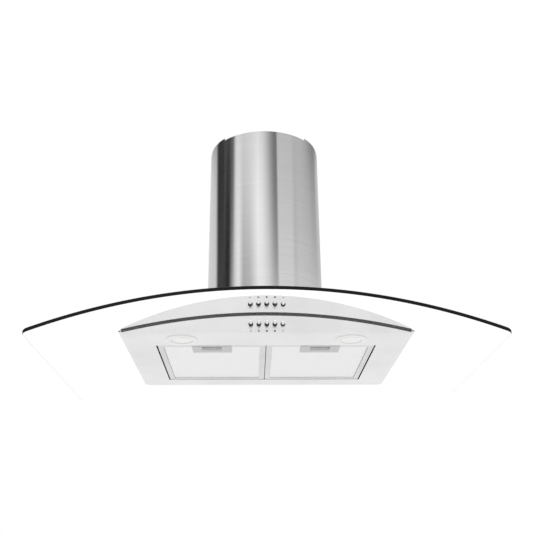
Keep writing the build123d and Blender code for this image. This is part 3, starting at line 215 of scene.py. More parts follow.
brushed_round, tree, shader = new_material(
    "stainless_brushed_round",
    Metallic=1.0,
    Roughness=0.15,
    Anisotropic=1.0,
    Anisotropic_Rotation=0.25,
)
place = add_node(tree, "TexCoord").outputs["Object"]
stretched = add_node(tree, "Mapping", {"Scale": (6.0, 6.0, 900.0)}, {"Vector": place})
scratch = add_node(tree, "TexNoise", {"Scale": 1.0, "Detail": 6.0}, {"Vector": stretched.outputs[0]})
tree.links.new(
    colour_steps(tree, scratch.outputs["Fac"], (0.25, "DCDCDC"), (0.75, "E8E8E8")),
    shader.inputs["Base Color"],
)
round_axis = add_node(tree, "Tangent", {"direction_type": "RADIAL", "axis": "Z"})
tree.links.new(round_axis.outputs["Tangent"], shader.inputs["Tangent"])
grain = add_node(
    tree,
    "Bump",
    {"Strength": 0.06, "Distance": 0.00003},
    {"Height": scratch.outputs["Fac"]},
)
tree.links.new(grain.outputs["Normal"], shader.inputs["Normal"])

around = np.linspace(0, 2 * np.pi, 360, endpoint=False)
lower_tube = grid_piece(
    "lower_chimney_tube",
    tube_points(around, OUTER_TUBE, arch(OUTER_TUBE * np.cos(around), GLASS + 0.3 * MM), OUTER_TOP),
    [brushed_round],
)
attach(lower_tube, "canopy")
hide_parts("lower_chimney")

relief_edges = np.radians([90 - RELIEF_ANGLE, 90 + RELIEF_ANGLE, 270 - RELIEF_ANGLE, 270 + RELIEF_ANGLE])
ear_angles = np.sort(np.concatenate([around, relief_edges - 1e-4, relief_edges + 1e-4]))
from_front = np.abs(np.degrees(np.arcsin(np.cos(ear_angles))))
ear_top = np.where(from_front < RELIEF_ANGLE, RELIEF_TOP, EAR_TOP)
upper_tube = grid_piece(
    "upper_chimney_tube", tube_points(ear_angles, INNER_TUBE, INNER_BOTTOM, ear_top), [brushed_round]
)
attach(upper_tube, "ceiling_frame")
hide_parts("upper_chimney")


# ---- Ears of the inner tube: their inward lips, one each side, screwed up under the ceiling plate ----
# They are the same brushed sheet as the tube, bent in over a short width at both sides.

LIP_REACH = 9.0 * MM
LIP_HALF = 18.0 * MM

across_lip = np.linspace(-LIP_HALF, LIP_HALF, 13)
lip_outer = INNER_TUBE - 0.4 * MM
lip_inner = INNER_TUBE - TUBE_WALL - LIP_REACH
lip_under = EAR_TOP - TUBE_WALL
lip_rows = [(lip_outer, EAR_TOP), (lip_outer, lip_under), (lip_inner, lip_under), (lip_inner, EAR_TOP)]
for side, hand in ((-1, "left"), (1, "right")):
    turn = np.arcsin(across_lip / INNER_TUBE)
    lip = np.stack(
        [
            np.stack([side * r * np.cos(turn), side * r * np.sin(turn), np.full_like(turn, h)], -1)
            for r, h in lip_rows
        ],
        0,
    )
    middle = lip.mean(0, keepdims=True).repeat(4, 0)
    lip = np.concatenate([middle[:, :1], lip, middle[:, -1:]], 1)
    ear_lip = grid_piece(f"ear_lip_{hand}", lip[::-1], [brushed_round], close_v=False)
    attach(ear_lip, "ceiling_frame")
    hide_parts("upper_chimney")


# ---- Glass canopy: one sheet of 7 mm toughened float glass, bent hot over a cylinder ----
# Low-iron enough to look clear face on; its ground and polished edges look nearly black, because
# the light inside the sheet leaves through them only after a long way through the glass.
# The rim and the hole's edge are painted near-black and opaque: painted shade in place of that light.

GLASS_WIDTH = 900.0 * MM
GLASS_DEPTH = 565.0 * MM
GLASS_REAR = 212.5 * MM
GLASS_CORNER = 10.0 * MM
GLASS_HOLE = 118.0 * MM
ARRIS = 1.0 * MM  # small bevel ground on both edges of the rim


def canopy_outline(inset):
    """Rounded rectangle in plan, counter-clockwise: four corner arcs joined by straight sides."""
    turn = np.linspace(0, np.pi / 2, 17)
    half_x = GLASS_WIDTH / 2 - GLASS_CORNER
    half_y = GLASS_DEPTH / 2 - GLASS_CORNER
    radius = GLASS_CORNER - inset
    runs = []
    corners = [(half_x, half_y), (-half_x, half_y), (-half_x, -half_y), (half_x, -half_y)]
    for quarter, (x, y) in enumerate(corners):
        angle = turn + quarter * np.pi / 2
        arc = np.stack([x + radius * np.cos(angle), y + radius * np.sin(angle)], -1)
        runs.append(arc)
    side_steps = (72, 44, 72, 44)
    outline = []
    for quarter, steps in enumerate(side_steps):
        start, end = runs[quarter][-1], runs[(quarter + 1) % 4][0]
        share = np.linspace(0, 1, steps + 1)[1:-1, None]
        outline += [runs[quarter], start + (end - start) * share]
    outline = np.concatenate(outline)
    return outline + [0.0, GLASS_REAR - GLASS_DEPTH / 2]


rim_plan, face_plan = canopy_outline(0.0), canopy_outline(ARRIS)
bearing = np.arctan2(face_plan[:, 1], face_plan[:, 0])
hole_plan = GLASS_HOLE * np.stack([np.cos(bearing), np.sin(bearing)], -1)
spread = np.linspace(0, 1, 30)[:, None, None]
face = hole_plan + (face_plan - hole_plan) * spread
bottom_face = np.concatenate([face, arch(face[..., :1])], -1)
top_face = np.concatenate([face, arch(face[..., :1], GLASS)], -1)
rim_low = np.column_stack([rim_plan, arch(rim_plan[:, 0]) + ARRIS])
rim_high = np.column_stack([rim_plan, arch(rim_plan[:, 0], GLASS) - ARRIS])
canopy_grid = np.concatenate([bottom_face, rim_low[None], rim_high[None], top_face[::-1]])
rim_start = len(bottom_face) - 1

clear_glass, tree, shader = new_material(
    "clear_toughened_glass",
    Roughness=0.0,
    IOR=1.5,
    Transmission_Weight=1.0,
    Specular_IOR_Level=0.35,
)
place = add_node(tree, "TexCoord").outputs["Object"]
roller_wave = add_node(tree, "TexNoise", {"Scale": 7.0, "Detail": 1.0}, {"Vector": place})
tree.links.new(
    colour_steps(tree, roller_wave.outputs["Fac"], (0.3, "FDFFFE"), (0.7, "FFFFFF")),
    shader.inputs["Base Color"],
)
ripple = add_node(
    tree, "Bump", {"Strength": 0.03, "Distance": 0.0002}, {"Height": roller_wave.outputs["Fac"]}
)
tree.links.new(ripple.outputs["Normal"], shader.inputs["Normal"])

# Edge material: its near-black colour is painted shade for the glass edges, not a colour of the glass
# itself.
dark_edge, tree, shader = new_material(
    "glass_edge_painted_dark", Roughness=0.3, IOR=1.5, Specular_IOR_Level=0.2
)
place = add_node(tree, "TexCoord").outputs["Object"]
grinding = add_node(tree, "TexNoise", {"Scale": 600.0, "Detail": 2.0}, {"Vector": place})
tree.links.new(
    colour_steps(tree, grinding.outputs["Fac"], (0.3, "020303"), (0.7, "070A09")),
    shader.inputs["Base Color"],
)

canopy = grid_piece(
    "bent_glass_canopy",
    canopy_grid,
    [clear_glass, dark_edge],
    face_slot=lambda i, j: (i >= rim_start) & (i < rim_start + 3) | (i == len(canopy_grid) - 1),
)
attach(canopy, "canopy")
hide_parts("glass_canopy")


# ---- Glass seal: black EPDM gasket pushed on the body's folded edge ----
# Matt rubber with a slight bloom; the glass lies on it by its own weight and the seat ring's pull.

gasket, tree, shader = new_material("black_epdm_gasket", Roughness=0.55)
place = add_node(tree, "TexCoord").outputs["Object"]
chalk = add_node(tree, "TexNoise", {"Scale": 500.0, "Detail": 4.0}, {"Vector": place})
tree.links.new(
    colour_steps(tree, chalk.outputs["Fac"], (0.3, "3A3A3B"), (0.7, "4A4A4B")),
    shader.inputs["Base Color"],
)
paint(gasket, "glass_seal")


# ---- Body: tray of 1 mm stainless sheet, folded, welded at the corners and brushed along X ----
# The brush runs left to right. Its lines are some 0.1 mm apart; here they are drawn 0.6 mm apart.


def brushed_sheet(name, deep, bright):
    """Steel sheet brushed along X, its colour between two greys and its gloss varied by the brush."""
    material, tree, shader = new_material(name, Metallic=1.0, Roughness=0.3, Anisotropic=0.4)
    place = add_node(tree, "TexCoord").outputs["Object"]
    stretched = add_node(tree, "Mapping", {"Scale": (8.0, 1600.0, 1600.0)}, {"Vector": place})
    scratch = add_node(
        tree, "TexNoise", {"Scale": 1.0, "Detail": 5.0}, {"Vector": stretched.outputs[0]}
    )
    cloud = add_node(tree, "TexNoise", {"Scale": 9.0, "Detail": 2.0}, {"Vector": place})
    both = add_node(
        tree,
        "Math",
        {"operation": "MULTIPLY_ADD", 1: 0.5},
        {0: scratch.outputs["Fac"], 2: cloud.outputs["Fac"]},
    )
    tree.links.new(
        colour_steps(tree, both.outputs[0], (0.45, deep), (1.0, bright)),
        shader.inputs["Base Color"],
    )
    gloss = add_node(
        tree, "MapRange", {"To Min": 0.24, "To Max": 0.36}, {"Value": scratch.outputs["Fac"]}
    )
    tree.links.new(gloss.outputs["Result"], shader.inputs["Roughness"])
    grain = add_node(
        tree, "Bump", {"Strength": 0.08, "Distance": 0.00004}, {"Height": scratch.outputs["Fac"]}
    )
    tree.links.new(grain.outputs["Normal"], shader.inputs["Normal"])
    facing = add_node(tree, "NewGeometry").outputs["Normal"]
    across_brush = add_node(
        tree, "VectorMath", {"operation": "CROSS_PRODUCT", 1: (1.0, 0.0, 0.0)}, {0: facing}
    )
    tree.links.new(across_brush.outputs["Vector"], shader.inputs["Tangent"])
    return material


paint(brushed_sheet("stainless_brushed_flat", "D8D8D8", "E4E4E4"), "body_shell")


# ---- Printed marks under the buttons: grey ink, pad-printed on the steel ----
# Plain signs: a bar for off, a three-bladed fan and two dots for the speeds, a bar for the lamps.

BUTTON_PITCH = 16.25 * MM
BUTTON_XS = [BUTTON_PITCH * step for step in (-2, -1, 0, 1, 2)]
PANEL = -212.5 * MM
MARK_RISE = 4.8 * MM
INK = 0.06 * MM


def mark_outline(kind):
    """Outline of one sign about its middle, as x and z: a bar, a dot or a fan of three blades."""
    turn = np.linspace(0, 2 * np.pi, 60, endpoint=False)
    if kind == "bar":
        return 2.0 * MM * np.sign(np.cos(turn)) * np.abs(np.cos(turn)) ** 0.3, 0.6 * MM * np.sin(turn)
    reach = 2.0 * MM if kind == "dot" else (0.9 + 2.2 * np.cos(1.5 * turn) ** 4) * MM
    return reach * np.cos(turn), reach * np.sin(turn)


ink, tree, shader = new_material("grey_pad_print", Roughness=0.6)
place = add_node(tree, "TexCoord").outputs["Object"]
speckle = add_node(tree, "TexNoise", {"Scale": 4000.0}, {"Vector": place})
tree.links.new(
    colour_steps(tree, speckle.outputs["Fac"], (0.3, "3C3C3D"), (0.7, "585859")),
    shader.inputs["Base Color"],
)
BUTTON_NAMES = ("off", "low", "medium", "high", "light")
for x, kind, label in zip(BUTTON_XS, ("bar", "fan", "dot", "dot", "bar"), BUTTON_NAMES):
    mark_x, mark_z = mark_outline(kind)
    ring = np.stack(
        [x + mark_x, np.full_like(mark_x, PANEL - INK), UNDERSIDE + MARK_RISE + mark_z], -1
    )
    foot = ring + [0.0, INK, 0.0]
    middle = np.broadcast_to(ring.mean(0), ring.shape)
    mark = grid_piece(f"mark_{label}", np.stack([foot, ring, middle]), [ink], close_u=False)
    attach(mark, "canopy")


# ---- Push buttons: black moulded plungers with domed chrome-plated caps, in black bezels ----
# The cap is drawn brass, plated and pressed on; seen from below, the plunger's black side shows.

BUTTON_RISE = 19.4 * MM
BUTTON_RADIUS = 3.6 * MM
BUTTON_TIP = -227.5 * MM
BUTTON_BACK = -210.0 * MM
BUTTON_TRAVEL = 5.0 * MM
STEM_RADIUS = 2.0 * MM
STEM_END = -196.0 * MM
CENTRE = 1e-6  # radius that closes a turned piece on its axis


def turned(profile, centre, axis, segments=64):
    """Profile of (radius, place along axis) carried once round an axis through centre."""
    angle = np.linspace(0, 2 * np.pi, segments, endpoint=False)
    profile = np.asarray(profile, float)
    ring_x = profile[:, :1] * np.cos(angle)
    ring_y = profile[:, :1] * np.sin(angle)
    along = np.broadcast_to(profile[:, 1:], ring_x.shape)
    order = {"Z": (ring_x, ring_y, along), "Y": (ring_y, along, ring_x)}[axis]
    return np.stack(order, -1) + np.asarray(centre)


chrome, tree, shader = new_material("chrome_plate", Metallic=1.0, Roughness=0.06)
place = add_node(tree, "TexCoord").outputs["Object"]
touch = add_node(tree, "TexNoise", {"Scale": 700.0, "Detail": 3.0}, {"Vector": place})
tree.links.new(
    colour_steps(tree, touch.outputs["Fac"], (0.3, "D4D5D8"), (0.7, "E2E3E5")),
    shader.inputs["Base Color"],
)
polish = add_node(tree, "MapRange", {"To Min": 0.04, "To Max": 0.10}, {"Value": touch.outputs["Fac"]})
tree.links.new(polish.outputs["Result"], shader.inputs["Roughness"])

black_abs, tree, shader = new_material("black_moulded_abs", Roughness=0.3, IOR=1.53)
place = add_node(tree, "TexCoord").outputs["Object"]
spark = add_node(tree, "TexNoise", {"Scale": 2500.0, "Detail": 2.0}, {"Vector": place})
tree.links.new(
    colour_steps(tree, spark.outputs["Fac"], (0.3, "0B0B0C"), (0.7, "161617")),
    shader.inputs["Base Color"],
)
erosion = add_node(
    tree, "Bump", {"Strength": 0.15, "Distance": 0.00003}, {"Height": spark.outputs["Fac"]}
)
tree.links.new(erosion.outputs["Normal"], shader.inputs["Normal"])

dome = np.linspace(0, np.pi / 2, 14)
cap = [(STEM_RADIUS, STEM_END), (STEM_RADIUS, BUTTON_BACK), (BUTTON_RADIUS, BUTTON_BACK)]
cap += [(BUTTON_RADIUS, BUTTON_BACK - 0.2 * MM), (BUTTON_RADIUS, BUTTON_TIP + 3.4 * MM)]
cap += [
    ((1.2 + 2.4 * math.cos(t)) * MM, BUTTON_TIP + 2.2 * MM * (1 - math.sin(t))) for t in dome
]
cap = [(CENTRE, STEM_END)] + cap + [(CENTRE, BUTTON_TIP)]
for x, label in zip(BUTTON_XS, BUTTON_NAMES):
    shift = BUTTON_TRAVEL if label == "light" else 0.0  # the light's button stays latched in
    button = grid_piece(
        f"button_cap_{label}",
        turned(cap, (x, shift, UNDERSIDE + BUTTON_RISE), "Y"),
        [chrome, black_abs],
        close_u=False,
        face_slot=lambda i, j: i < 5,
    )
    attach(button, f"button_{label}_body")
    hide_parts(f"button_{label}")

BEZEL_BORE = BUTTON_RADIUS + 0.15 * MM
bezel = [
    (BEZEL_BORE, BUTTON_BACK),
    (BEZEL_BORE, PANEL - 0.9 * MM),
    (BEZEL_BORE + 0.3 * MM, PANEL - 1.2 * MM),
    (4.5 * MM, PANEL - 1.2 * MM),
    (4.8 * MM, PANEL - 1.05 * MM),
    (4.9 * MM, PANEL - 0.8 * MM),
    (4.9 * MM, PANEL),
    (4.4 * MM, PANEL),
    (4.4 * MM, BUTTON_BACK),
]
for x, label in zip(BUTTON_XS, BUTTON_NAMES):
    ring = grid_piece(
        f"button_bezel_{label}", turned(bezel, (x, 0.0, UNDERSIDE + BUTTON_RISE), "Y"), [black_abs]
    )
    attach(ring, "canopy")
    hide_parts("button_bezels")
paint(black_abs, "switch_bank", "cable_gland")


# ---- Lamps: spun stainless bezel, frosted pressed-glass lens, bright reflector, bulb and can ----
# The lens is pressed with fine rings on the inside and etched outside, so it glows evenly.

LAMP_Y = -167.5 * MM
LAMP_XS = {"left": -175.5 * MM, "right": 175.5 * MM}
LAMP_RADIUS = 33.25 * MM
LAMP_BORE = 22.0 * MM
LAMP_LIP = 1.8 * MM
SPIGOT_OUTER = 28.6 * MM
SPIGOT_INNER = 27.6 * MM
SPIGOT_TOP = 14.0 * MM
LENS_RADIUS = 27.3 * MM

spun, tree, shader = new_material(
    "stainless_spun", Metallic=1.0, Roughness=0.22, Anisotropic=0.5
)
place = add_node(tree, "TexCoord").outputs["Object"]
lathe = add_node(tree, "TexNoise", {"Scale": 1500.0, "Detail": 2.0}, {"Vector": place})
tree.links.new(
    colour_steps(tree, lathe.outputs["Fac"], (0.3, "DADADA"), (0.7, "E6E6E6")),
    shader.inputs["Base Color"],
)

frosted, tree, shader = new_material("etched_lens_glass", Roughness=0.45, IOR=1.5)
place = add_node(tree, "TexCoord").outputs["Object"]
etch = add_node(tree, "TexNoise", {"Scale": 900.0, "Detail": 4.0}, {"Vector": place})
tree.links.new(
    colour_steps(tree, etch.outputs["Fac"], (0.3, "DFDFDD"), (0.7, "E7E7E6")),
    shader.inputs["Base Color"],
)
frost = add_node(
    tree, "Bump", {"Strength": 0.1, "Distance": 0.00005}, {"Height": etch.outputs["Fac"]}
)
tree.links.new(frost.outputs["Normal"], shader.inputs["Normal"])

roll = np.linspace(0, np.pi / 2, 7)
lamp_bezel = [(SPIGOT_OUTER, SPIGOT_TOP), (SPIGOT_OUTER, 0.0), (LAMP_RADIUS, 0.0)]
lamp_bezel += [
    (LAMP_RADIUS - (1 - math.cos(t)) * 1.1 * MM, -0.7 * MM - math.sin(t) * 1.1 * MM) for t in roll
]
lamp_bezel += [(LAMP_BORE + 0.9 * MM, -LAMP_LIP), (LAMP_BORE + 0.2 * MM, -1.5 * MM)]
lamp_bezel += [(LAMP_BORE, -1.1 * MM), (LAMP_BORE, -0.9 * MM)]
lamp_bezel += [(SPIGOT_INNER, -0.9 * MM), (SPIGOT_INNER, SPIGOT_TOP)]
ring_radius = np.linspace(LENS_RADIUS, CENTRE, 60)
pressed = 0.12 * MM * np.cos(ring_radius / (1.8 * MM) * 2 * np.pi)
swell = 0.9 * MM * np.cos(np.minimum(ring_radius / LAMP_BORE, 1.0) * np.pi / 2)
lens = [(LENS_RADIUS, 1.4 * MM), (LENS_RADIUS, -0.55 * MM)]
lens += [(r, -0.6 * MM - s) for r, s in zip(ring_radius[2:], swell[2:])]
lens += [(r, 1.3 * MM + p) for r, p in zip(ring_radius[:0:-1], pressed[:0:-1])]
for hand, lamp_x in LAMP_XS.items():
    centre = (lamp_x, LAMP_Y, UNDERSIDE)
    bezel_ring = grid_piece(
        f"lamp_ring_{hand}", turned(lamp_bezel, centre, "Z", 96)[::-1], [spun]
    )
    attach(bezel_ring, "canopy")
    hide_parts(f"lamp_bezel_{hand}")
    lens_disc = grid_piece(f"lamp_glass_{hand}", turned(lens, centre, "Z", 96)[::-1], [frosted])
    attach(lens_disc, "canopy")
    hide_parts(f"lamp_lens_{hand}")

reflector, tree, shader = new_material("anodised_reflector", Metallic=1.0, Roughness=0.18)
place = add_node(tree, "TexCoord").outputs["Object"]
facets = add_node(tree, "TexVoronoi", {"Scale": 420.0}, {"Vector": place})
hammer = add_node(
    tree, "Bump", {"Strength": 0.3, "Distance": 0.0002}, {"Height": facets.outputs["Distance"]}
)
tree.links.new(hammer.outputs["Normal"], shader.inputs["Normal"])
tree.links.new(
    colour_steps(tree, facets.outputs["Distance"], (0.0, "E4E5E8"), (0.6, "F0F1F2")),
    shader.inputs["Base Color"],
)
paint(reflector, "lamp_reflectors")

bulb_glass, tree, shader = new_material("satin_bulb_glass", Roughness=0.25, IOR=1.5)
place = add_node(tree, "TexCoord").outputs["Object"]
satin = add_node(tree, "TexNoise", {"Scale": 800.0}, {"Vector": place})
tree.links.new(
    colour_steps(tree, satin.outputs["Fac"], (0.3, "EDECE6"), (0.7, "F7F6F2")),
    shader.inputs["Base Color"],
)
paint(bulb_glass, "lamp_bulbs")


# ---- Grease filters: stainless channel frame round layers of expanded aluminium ----
# The mesh is slit and drawn into diamonds of about 4 by 3 mm and washed bright; its openings are painted
# a darker grey, painted shade of the layers behind.
# The frame's sheet is the body's, with a duller brush.

frame_steel = brushed_sheet("stainless_brushed_frame", "C9C9C9", "D6D6D6")
paint(frame_steel, "filter_frame_left", "filter_frame_right")

expanded, tree, shader = new_material("expanded_aluminium", Metallic=1.0, Roughness=0.38)
place = add_node(tree, "TexCoord").outputs["Object"]
split = add_node(tree, "SeparateXYZ", links={"Vector": place})
strands = []
for sign in (1.0, -1.0):
    lean = add_node(
        tree,
        "Math",
        {"operation": "MULTIPLY_ADD", 1: 0.75 * sign},
        {0: split.outputs["X"], 2: split.outputs["Y"]},
    )
    turns = add_node(
        tree, "Math", {"operation": "MULTIPLY", 1: 2 * math.pi / (3.0 * MM)}, {0: lean.outputs[0]}
    )
    wave = add_node(tree, "Math", {"operation": "COSINE"}, {0: turns.outputs[0]})
    strands.append(wave.outputs[0])
lattice = add_node(tree, "Math", {"operation": "MAXIMUM"}, {0: strands[0], 1: strands[1]})
level = add_node(
    tree, "MapRange", {"From Min": -1.0, "From Max": 0.9}, {"Value": lattice.outputs[0]}
)
# Darker grey in the diamond openings is painted shade; the strands carry the washed aluminium's own
# grey.
tree.links.new(
    colour_steps(tree, level.outputs["Result"], (0.15, "B4B4B5"), (0.5, "E6E6E6"), (0.9, "EFEFEF")),
    shader.inputs["Base Color"],
)
diamonds = add_node(
    tree, "Bump", {"Strength": 0.35, "Distance": 0.0003}, {"Height": level.outputs["Result"]}
)
tree.links.new(diamonds.outputs["Normal"], shader.inputs["Normal"])
paint(expanded, "filter_mesh_left", "filter_mesh_right")


# ---- Filter handles: pressed trays of thin stainless, screwed into the front bar of each filter ----
# Their plate is bead-blasted to a duller grey than the frame, and the sliding latch is grey nylon.

blasted, tree, shader = new_material("stainless_bead_blasted", Metallic=1.0, Roughness=0.42)
place = add_node(tree, "TexCoord").outputs["Object"]
beads = add_node(tree, "TexNoise", {"Scale": 1800.0, "Detail": 3.0}, {"Vector": place})
tree.links.new(
    colour_steps(tree, beads.outputs["Fac"], (0.3, "B9B9BA"), (0.7, "C6C6C7")),
    shader.inputs["Base Color"],
)
pits = add_node(
    tree, "Bump", {"Strength": 0.2, "Distance": 0.00004}, {"Height": beads.outputs["Fac"]}
)
tree.links.new(pits.outputs["Normal"], shader.inputs["Normal"])
paint(blasted, "filter_handle_left", "filter_handle_right")

nylon, tree, shader = new_material("grey_moulded_nylon", Roughness=0.5, IOR=1.53)
place = add_node(tree, "TexCoord").outputs["Object"]
flow = add_node(tree, "TexNoise", {"Scale": 300.0, "Detail": 4.0}, {"Vector": place})
tree.links.new(
    colour_steps(tree, flow.outputs["Fac"], (0.3, "B2B2B3"), (0.7, "BFBFC0")),
    shader.inputs["Base Color"],
)
paint(nylon, "filter_latch_left", "filter_latch_right", "ring_spacers")


# ---- Blower: painted motor can; the capacitor and terminal block beside it are white mouldings ----
# The motor is stove-enamelled black over a drawn steel can.

enamel, tree, shader = new_material("black_stove_enamel", Roughness=0.35, IOR=1.5, Coat_Weight=0.2)
place = add_node(tree, "TexCoord").outputs["Object"]
orange_peel = add_node(tree, "TexNoise", {"Scale": 350.0, "Detail": 2.0}, {"Vector": place})
tree.links.new(
    colour_steps(tree, orange_peel.outputs["Fac"], (0.3, "1C1C1D"), (0.7, "262627")),
    shader.inputs["Base Color"],
)
peel = add_node(
    tree, "Bump", {"Strength": 0.2, "Distance": 0.0001}, {"Height": orange_peel.outputs["Fac"]}
)
tree.links.new(peel.outputs["Normal"], shader.inputs["Normal"])
paint(enamel, "motor")

white_moulding, tree, shader = new_material("white_moulded_polyamide", Roughness=0.45, IOR=1.53)
place = add_node(tree, "TexCoord").outputs["Object"]
shade = add_node(tree, "TexNoise", {"Scale": 250.0, "Detail": 3.0}, {"Vector": place})
tree.links.new(
    colour_steps(tree, shade.outputs["Fac"], (0.3, "DEDCD6"), (0.7, "E9E7E2")),
    shader.inputs["Base Color"],
)
paint(white_moulding, "terminal_block", "capacitor")


# ---- Duct collar and damper flaps: black glass-filled polypropylene, injection moulded ----
# The glass fibre leaves a faint grey mottle on the matt black.

filled_black, tree, shader = new_material("black_filled_polypropylene", Roughness=0.5, IOR=1.49)
place = add_node(tree, "TexCoord").outputs["Object"]
fibre = add_node(tree, "TexNoise", {"Scale": 600.0, "Detail": 5.0}, {"Vector": place})
tree.links.new(
    colour_steps(tree, fibre.outputs["Fac"], (0.3, "151516"), (0.7, "232324")),
    shader.inputs["Base Color"],
)
paint(filled_black, "duct_collar", "damper_flap_front", "damper_flap_rear")


# ---- Studio: pale floor under the hanging hood, white surroundings with dark boards at the sides ----
# The boards stand where they draw the long dark stripes down the chimney. The camera sees plain
# white behind the hood, and the floor, far below, only catches its shadow.

FLOOR = -3.2

floor_grid = np.linspace(-9.0, 9.0, 9)
floor_x, floor_y = np.meshgrid(floor_grid, floor_grid, indexing="ij")
floor_paint, tree, shader = new_material("pale_floor", Roughness=0.9)
place = add_node(tree, "TexCoord").outputs["Object"]
mottle = add_node(tree, "TexNoise", {"Scale": 2.0}, {"Vector": place})
tree.links.new(
    colour_steps(tree, mottle.outputs["Fac"], (0.3, "F4F4F4"), (0.7, "F8F8F8")),
    shader.inputs["Base Color"],
)
floor = grid_piece(
    "floor",
    np.stack([floor_x, floor_y, np.full_like(floor_x, FLOOR)], -1),
    [floor_paint],
    close_u=False,
    close_v=False,
)
floor.visible_glossy = floor.visible_diffuse = floor.visible_shadow = False

world = bpy.data.worlds.new("studio")
bpy.context.scene.world = world
world.use_nodes = True
tree = world.node_tree
tree.nodes.clear()
direction = add_node(tree, "TexCoord").outputs["Generated"]
parts = add_node(tree, "SeparateXYZ", links={"Vector": direction})
front = add_node(tree, "Math", {"operation": "MULTIPLY", 1: -1.0}, {0: parts.outputs["Y"]})
azimuth = add_node(
    tree, "Math", {"operation": "ARCTAN2"}, {0: parts.outputs["X"], 1: front.outputs[0]}
)
turn_share = add_node(
    tree,
    "Math",
    {"operation": "MULTIPLY_ADD", 1: 0.5 / math.pi, 2: 0.5},
    {0: azimuth.outputs[0]},
)


def boards(stops):
    """Ramp of grey round the horizon; each stop is (degrees to the right of the front, grey)."""
    ramp = add_node(tree, "ValToRGB", links={"Fac": turn_share.outputs[0]})
    marks = ramp.color_ramp.elements
    while len(marks) < len(stops):
        marks.new(0.5)
    for mark_stop, (degrees, grey) in zip(marks, stops):
        mark_stop.position = degrees / 360 + 0.5
        mark_stop.color = (grey, grey, grey, 1.0)
    return ramp.outputs["Color"]


def raised(start, end, below, above):
    """Blend from below to above while the direction's height goes from start to end."""
    height = add_node(
        tree, "MapRange", {"From Min": start, "From Max": end}, {"Value": parts.outputs["Z"]}
    )
    return add_node(
        tree, "MixRGB", links={"Fac": height.outputs["Result"], "Color1": below, "Color2": above}
    ).outputs[0]


roof = boards(
    [(-180, 0.42), (-150, 0.08), (-96, 0.01), (-92, 0.10), (-88, 0.01), (-69, 0.03), (-64, 0.75),
     (-36, 0.75), (-14, 0.6), (0, 0.36), (12, 0.03), (25.2, 0.01), (26.4, 0.48), (88, 0.46),
     (101, 0.32), (113, 0.12), (128, 0.05), (150, 0.05), (180, 0.42)]
)
high = boards(
    [(-180, 0.75), (-124, 0.75), (-117, 0.02), (-96, 0.01), (-92, 0.10), (-88, 0.01), (-69, 0.03),
     (-64, 0.95), (-44, 0.95), (-14, 1.45), (-4, 1.2), (8, 0.6), (18, 0.12), (25.2, 0.01),
     (26.4, 0.66), (57, 0.66), (64, 0.56), (106, 0.55), (120, 0.42), (134, 0.38), (142, 0.6),
     (180, 0.75)]
)
low = boards(
    [(-180, 0.75), (-116, 0.75), (-110, 0.06), (-96, 0.08), (-84, 0.0), (-76, 0.0), (-66, 0.7),
     (-54, 1.2), (-44, 0.16), (-32, 0.16), (-14, 1.1), (8, 0.85), (20, 0.25), (26.6, 0.05),
     (27.8, 0.76), (57, 0.74), (64, 0.4), (72, 0.62), (106, 0.58), (130, 0.5), (150, 0.55),
     (180, 0.75)]
)
wall = boards(
    [(-180, 0.75), (-116, 0.75), (-108, 0.05), (-76, 0.0), (-66, 0.6), (-54, 0.9), (-44, 0.5),
     (-26, 0.5), (-6, 1.0), (60, 0.95), (180, 0.75)]
)
ground = boards([(-180, 1.05), (180, 1.05)])
sky = boards([(-180, 0.9), (180, 0.9)])
studio = raised(-0.05, 0.05, ground, wall)
studio = raised(0.33, 0.36, studio, low)
studio = raised(0.38, 0.47, studio, high)
studio = raised(0.50, 0.56, studio, roof)
studio = raised(0.64, 0.72, studio, sky)
ray = add_node(tree, "LightPath")
open_view = add_node(
    tree,
    "Math",
    {"operation": "MAXIMUM"},
    {0: ray.outputs["Is Camera Ray"], 1: ray.outputs["Is Transmission Ray"]},
)
backdrop = add_node(
    tree,
    "MixRGB",
    {"Color2": (1.0, 1.0, 1.0, 1.0)},
    {"Fac": open_view.outputs[0], "Color1": studio},
)
light = add_node(tree, "Background", links={"Color": backdrop.outputs[0]})
add_node(tree, "OutputWorld", links={"Surface": light.outputs[0]})

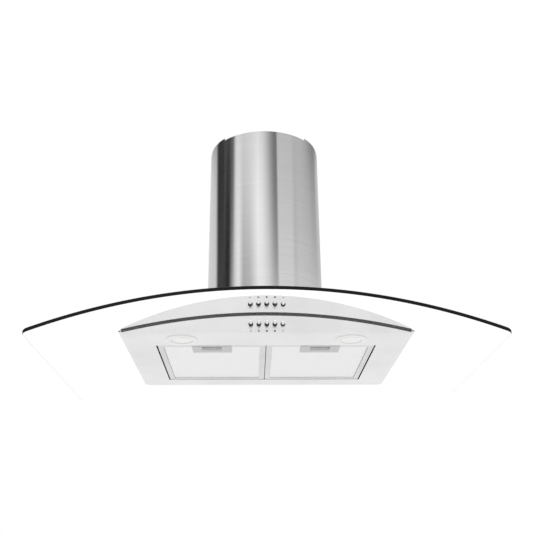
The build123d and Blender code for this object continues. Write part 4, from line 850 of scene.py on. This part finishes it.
daylight = bpy.data.lights.new("ceiling_daylight", "SUN")
daylight.energy = 1.9
daylight.angle = math.radians(120)
ceiling_daylight = bpy.data.objects.new("ceiling_daylight", daylight)
ceiling_daylight.visible_glossy = False
bpy.context.scene.collection.objects.link(ceiling_daylight)
for name, spot, aim, size, power in (
    ("key_softbox", (-1.6, -2.6, 0.6), (0.0, 0.0, -0.4), 1.6, 38.0),
    ("fill_softbox", (2.2, -1.6, -1.6), (0.0, 0.0, -0.5), 1.6, 6.0),
):
    lamp = bpy.data.lights.new(name, "AREA")
    lamp.size = size
    lamp.energy = power
    softbox = bpy.data.objects.new(name, lamp)
    softbox.location = spot
    softbox.rotation_mode = "QUATERNION"
    softbox.rotation_quaternion = (Vector(aim) - Vector(spot)).to_track_quat("-Z", "Y")
    softbox.visible_glossy = False
    bpy.context.scene.collection.objects.link(softbox)


# ---- Camera: low in front of the hood, looking up at it ----
# A short telephoto lens on a 36 mm wide sensor, 1.7 m in front of the chimney's axis.

CAMERA_AT = (-0.02920, -1.67916, -1.01107)
PITCH, YAW, ROLL = math.radians(22.921), math.radians(1.144), math.radians(-0.404)
forward = np.array(
    [math.sin(YAW) * math.cos(PITCH), math.cos(YAW) * math.cos(PITCH), math.sin(PITCH)]
)
level_right = np.array([math.cos(YAW), -math.sin(YAW), 0.0])
level_up = np.cross(level_right, forward)
right = math.cos(ROLL) * level_right + math.sin(ROLL) * level_up
up = math.cos(ROLL) * level_up - math.sin(ROLL) * level_right

lens_data = bpy.data.cameras.new("camera")
lens_data.lens = 51.378
lens_data.sensor_width = 36.0
lens_data.clip_start, lens_data.clip_end = 0.05, 40.0
camera = bpy.data.objects.new("camera", lens_data)
pose = np.eye(4)
pose[:3, 0], pose[:3, 1], pose[:3, 2] = right, up, -forward
pose[:3, 3] = CAMERA_AT
camera.matrix_world = Matrix(pose.tolist())
bpy.context.scene.collection.objects.link(camera)
bpy.context.scene.camera = camera
bpy.context.scene.view_settings.view_transform = "Standard"
